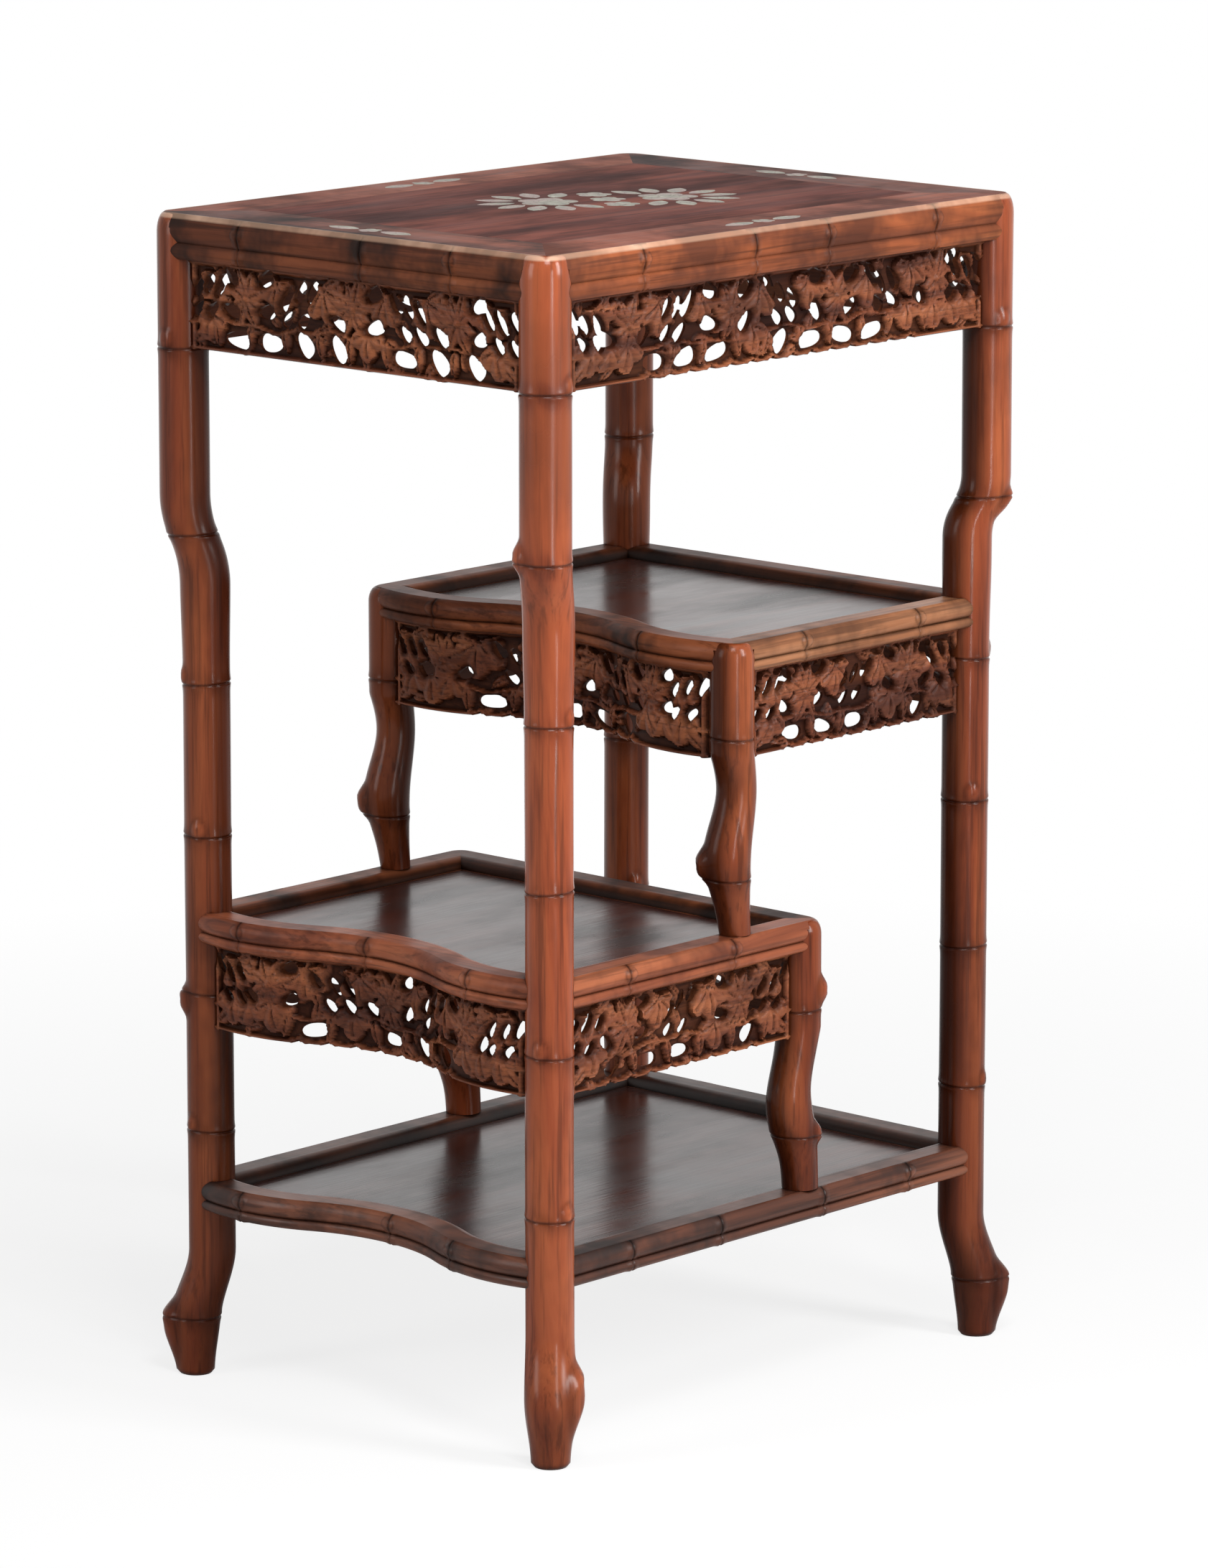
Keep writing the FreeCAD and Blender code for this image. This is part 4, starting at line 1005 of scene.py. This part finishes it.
def carve(clear, u, v, seed, depth, foot, piercing):
    """Carving of one apron and its lower edge."""
    rng = np.random.default_rng(seed)
    bays = max(2, round(clear / BAY_PITCH))
    pitch = clear / bays
    carving = Carving(u, v, piercing)
    low = lower_edge(u, clear, depth, foot)
    carving.strip(v - low, half=1.6, height=0.4)
    carving.strip(APRON_HEIGHT + 1.0 - v, half=2.2, height=0.45)
    for sign in (-1.0, 1.0):
        carving.strip(clear / 2 + 1.0 - sign * u, half=2.2, height=0.4)
    wave = TURN / pitch
    phase = rng.uniform(0.0, TURN)
    line = VINE_MIDDLE + VINE_SWING * (np.cos(wave * u + phase) + 0.6 * np.sin(2.7 * wave * u + phase))
    carving.stem(line, -VINE_SWING * wave * np.sin(wave * u + phase), half=1.4)
    carve_undergrowth(carving, clear, rng)
    for i in range(bays):
        carve_bay(carving, (i + 0.5 - bays / 2) * pitch + rng.uniform(-3.0, 3.0), pitch, rng)
    limit = clear / 2 - SLOT_INSET
    for i in range(bays + 1):
        carve_slots(carving, float(np.clip((i - bays / 2) * pitch, -limit, limit)), rng)
    carve_lower_row(carving, clear, foot, rng)
    carve_feet(carving, clear, foot, rng)
    carving.round_edges()
    return carving, low


def blurred(field, reach):
    """Mean of a field over a square of points."""
    size = 2 * reach + 1
    padded = np.pad(field, reach, mode="edge")
    return np.lib.stride_tricks.sliding_window_view(padded, (size, size)).mean(axis=(2, 3))


def cell_corners(grid):
    """The four corners of every cell of a grid, in turn."""
    return grid[:-1, :-1], grid[1:, :-1], grid[1:, 1:], grid[:-1, 1:]


def pierced_board(u, v, wood):
    """Points and faces of a pierced board on a grid, drawn in to the edges of the wood."""
    slope_u, slope_v = np.gradient(wood, CARVE_STEP)
    steep = slope_u**2 + slope_v**2 + 1e-6
    near = np.abs(wood) < 0.6 * CARVE_STEP * np.sqrt(steep)
    near[0] = near[-1] = False
    near[:, -1] = False
    pull = np.where(near, wood / steep, 0.0)
    u = u - pull * slope_u
    v = v - pull * slope_v
    kept = cell_corners(near | (wood > 0.0))
    numbers = np.stack(cell_corners(np.arange(u.size).reshape(u.shape)), axis=2)
    count = sum(corner.astype(int) for corner in kept)
    faces = numbers[count == 4].tolist()
    for i, corner in enumerate(kept):
        faces += np.delete(numbers, i, axis=2)[(count == 3) & ~corner].tolist()
    return u, v, faces


def edge_loop(faces):
    """Directed edges that only one face has."""
    edges = {(face[i - 1], face[i]) for face in faces for i in range(len(face))}
    return [(a, b) for a, b in edges if (b, a) not in edges]


def carved_apron(level, side, seed):
    """Apron of one side: carved in front, flat behind, pierced right through."""
    name = f"{level.name}_apron_{side}"
    start, end = level.ends(side)
    clear = end - start - 2 * level.leg_radius
    half = clear / 2 + APRON_SINK
    us = np.linspace(-half, half, round(2 * half / CARVE_STEP))
    vs = np.linspace(0.0, APRON_HEIGHT, round(APRON_HEIGHT / CARVE_STEP) + 1)
    u, v = np.meshgrid(us, vs, indexing="ij")
    long_side = side in LONG_SIDES
    depth = LOBE_DEPTH if level.serpentine or long_side else 0.0
    foot = SHORT_FOOT if level.serpentine == long_side else LONG_FOOT
    piercing = SHELF_PIERCING if level.serpentine else 1.0
    carving, low = carve(clear, u, v, seed, depth, foot, piercing)
    height = carving.height
    u, v, faces = pierced_board(u, v, np.minimum(carving.wood, v - low))
    # painted shade on the low ground and in recesses, painted highlight on raised parts, painted shade
    # round the openings
    ground = 0.8 * (1.0 - smooth((height - GROUND) / 0.4))
    stain = ground + 2.8 * (blurred(height, 2) - height)
    stain = np.maximum(stain, RIM_PAINTED_SHADE * (1.0 - smooth(carving.wood / RIM_WIDTH)))
    used = np.unique(np.concatenate([np.ravel(face) for face in faces]))
    count = len(used)
    renumber = np.full(u.size, -1)
    renumber[used] = np.arange(count)
    faces = [tuple(renumber[list(face)]) for face in faces]
    along = u.ravel()[used] + (start + end) / 2
    z = v.ravel()[used] + level.bottom - APRON_HEIGHT
    front_inset = APRON_SETBACK + RELIEF * (1.0 - np.clip(height.ravel()[used], 0.0, 1.0))
    front = level.place(side, along, front_inset, z)
    back = level.place(side, along, np.full(count, APRON_SETBACK + BOARD_THICKNESS), z)
    vertices = np.concatenate([front, back])
    walls = [(a, a + count, b + count, b) for a, b in sorted(edge_loop(faces))]
    behind = [tuple(i + count for i in reversed(face)) for face in faces]
    faces = faces + walls + behind
    # painted shade on the back and on the walls of the openings
    stains_and_shades = np.concatenate([np.clip(stain.ravel()[used], -0.5, 0.9), np.full(count, 0.35)])
    material = CARVED_WOODS[0 if long_side else 1]
    add_piece(name + "_carving", vertices, faces, material, name, stains_and_shades, 50.0)


def make_aprons():
    seed = 3
    for level in LEVELS[:3]:
        for side in SIDES:
            carved_apron(level, side, seed)
            seed += 1


# Camera, floor and light


def make_camera():
    data = bpy.data.cameras.new("camera")
    data.lens = CAMERA_LENS
    flat = math.cos(CAMERA_ELEVATION)
    sideways = math.sin(CAMERA_AZIMUTH) * flat
    away = Vector((sideways, -math.cos(CAMERA_AZIMUTH) * flat, math.sin(CAMERA_ELEVATION)))
    place = CAMERA_PIVOT + CAMERA_DISTANCE * away
    bpy.context.scene.camera = add_object("camera", data, place, CAMERA_AIM)


WHITE = (1.0, 1.0, 1.0, 1.0)
FLOOR_TONE = (0.93, 0.93, 0.93, 1.0)
FLOOR_HALF = 3.0
FLOOR_WHITE = 0.8  # share of plain white, so that the shadow stays faint
FLOOR_FADE = (0.55, 1.5)  # distances from the middle


def make_floor():
    """White floor that fades into the white surroundings."""
    mesh = bpy.data.meshes.new("floor")
    corners = [(x * FLOOR_HALF, y * FLOOR_HALF, 0.0) for x, y in ((-1, -1), (1, -1), (1, 1), (-1, 1))]
    mesh.from_pydata(corners, [], [(0, 1, 2, 3)])
    finish = Finish("floor_white")
    finish.set(Base_Color=FLOOR_TONE, Roughness=0.9, Specular_IOR_Level=0.0)
    white = finish.node("Emission", {"Color": WHITE, "Strength": 1.0})
    seen = finish.math("MULTIPLY", finish.node("LightPath", {}, "Is Camera Ray"), FLOOR_WHITE)
    pale = finish.node("MixShader", {0: seen, 1: finish.surface.outputs[0], 2: white})
    place = finish.node("TexCoord", {}, "Object")
    reach = finish.node("VectorMath", {0: place}, "Value", operation="LENGTH")
    clear = finish.node("BsdfTransparent", {})
    shown = finish.node("MixShader", {0: finish.span(reach, *FLOOR_FADE), 1: pale, 2: clear})
    finish.put(finish.tree.nodes["Material Output"].inputs["Surface"], shown)
    mesh.materials.append(finish.material)
    floor = add_object("floor", mesh)


WORLD_LIGHT = 0.18


def make_world():
    """White surroundings to the camera and in reflections, softer light on the object."""
    world = bpy.data.worlds.new("studio")
    bpy.context.scene.world = world
    world.use_nodes = True
    shader = Shader(world.node_tree)
    seen = shader.node("LightPath", {}, "Is Camera Ray")
    for ray in ("Is Glossy Ray", "Is Transmission Ray"):
        seen = shader.math("MAXIMUM", seen, shader.node("LightPath", {}, ray))
    background = shader.tree.nodes["Background"].inputs
    shader.put(background["Color"], WHITE)
    shader.put(background["Strength"], shader.span(seen, 0.0, 1.0, WORLD_LIGHT))


# Soft lamps: name, bearing to the right of the camera in degrees, height, distance, and the lamp's width,
# height and watts
LAMPS = (
    ("key_lamp", 60.0, 1.5, 2.6, 0.7, 1.6, 70.0),
    ("left_lamp", -62.0, 1.3, 2.8, 0.9, 1.6, 24.0),
    ("near_lamp", 10.0, 1.65, 1.15, 0.5, 0.5, 12.0),
    ("strip_lamp", 28.0, 0.6, 2.2, 0.12, 1.1, 10.0),
    ("top_lamp", 20.0, 3.0, 0.9, 1.6, 1.6, 12.0),
)
LAMP_AIM = Vector((0.0, 0.0, 0.45))


def make_lamps():
    for name, right, height, distance, width, tall, watts in LAMPS:
        data = bpy.data.lights.new(name, "AREA")
        data.shape = "RECTANGLE"
        data.size = width
        data.size_y = tall
        data.energy = watts
        bearing = CAMERA_AZIMUTH + math.radians(right)
        place = (math.sin(bearing) * distance, -math.cos(bearing) * distance, height)
        add_object(name, data, place, LAMP_AIM)


# Finishes of CAD nodes, by the first of these words in their names
CAD_FINISHES = {"pearl": PEARL, "top_panel": TOP_WOOD, "panel": PANEL_WOOD, "batten": BATTEN_WOOD}


def dress_cad():
    """Finishes for the CAD nodes, of which the rails, panels, battens and pearl stay in view."""
    for name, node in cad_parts.items():
        fits = [finish for word, finish in CAD_FINISHES.items() if word in name]
        material = rail_wood(name) if "_rail_" in name else (fits + [CANE_WOOD])[0]
        node.data.materials.clear()
        node.data.materials.append(material)


dress_cad()
make_main_legs()
make_short_legs()
make_rail_nodes()
make_aprons()
make_camera()
make_floor()
make_world()
make_lamps()
bpy.context.scene.view_settings.view_transform = "Standard"
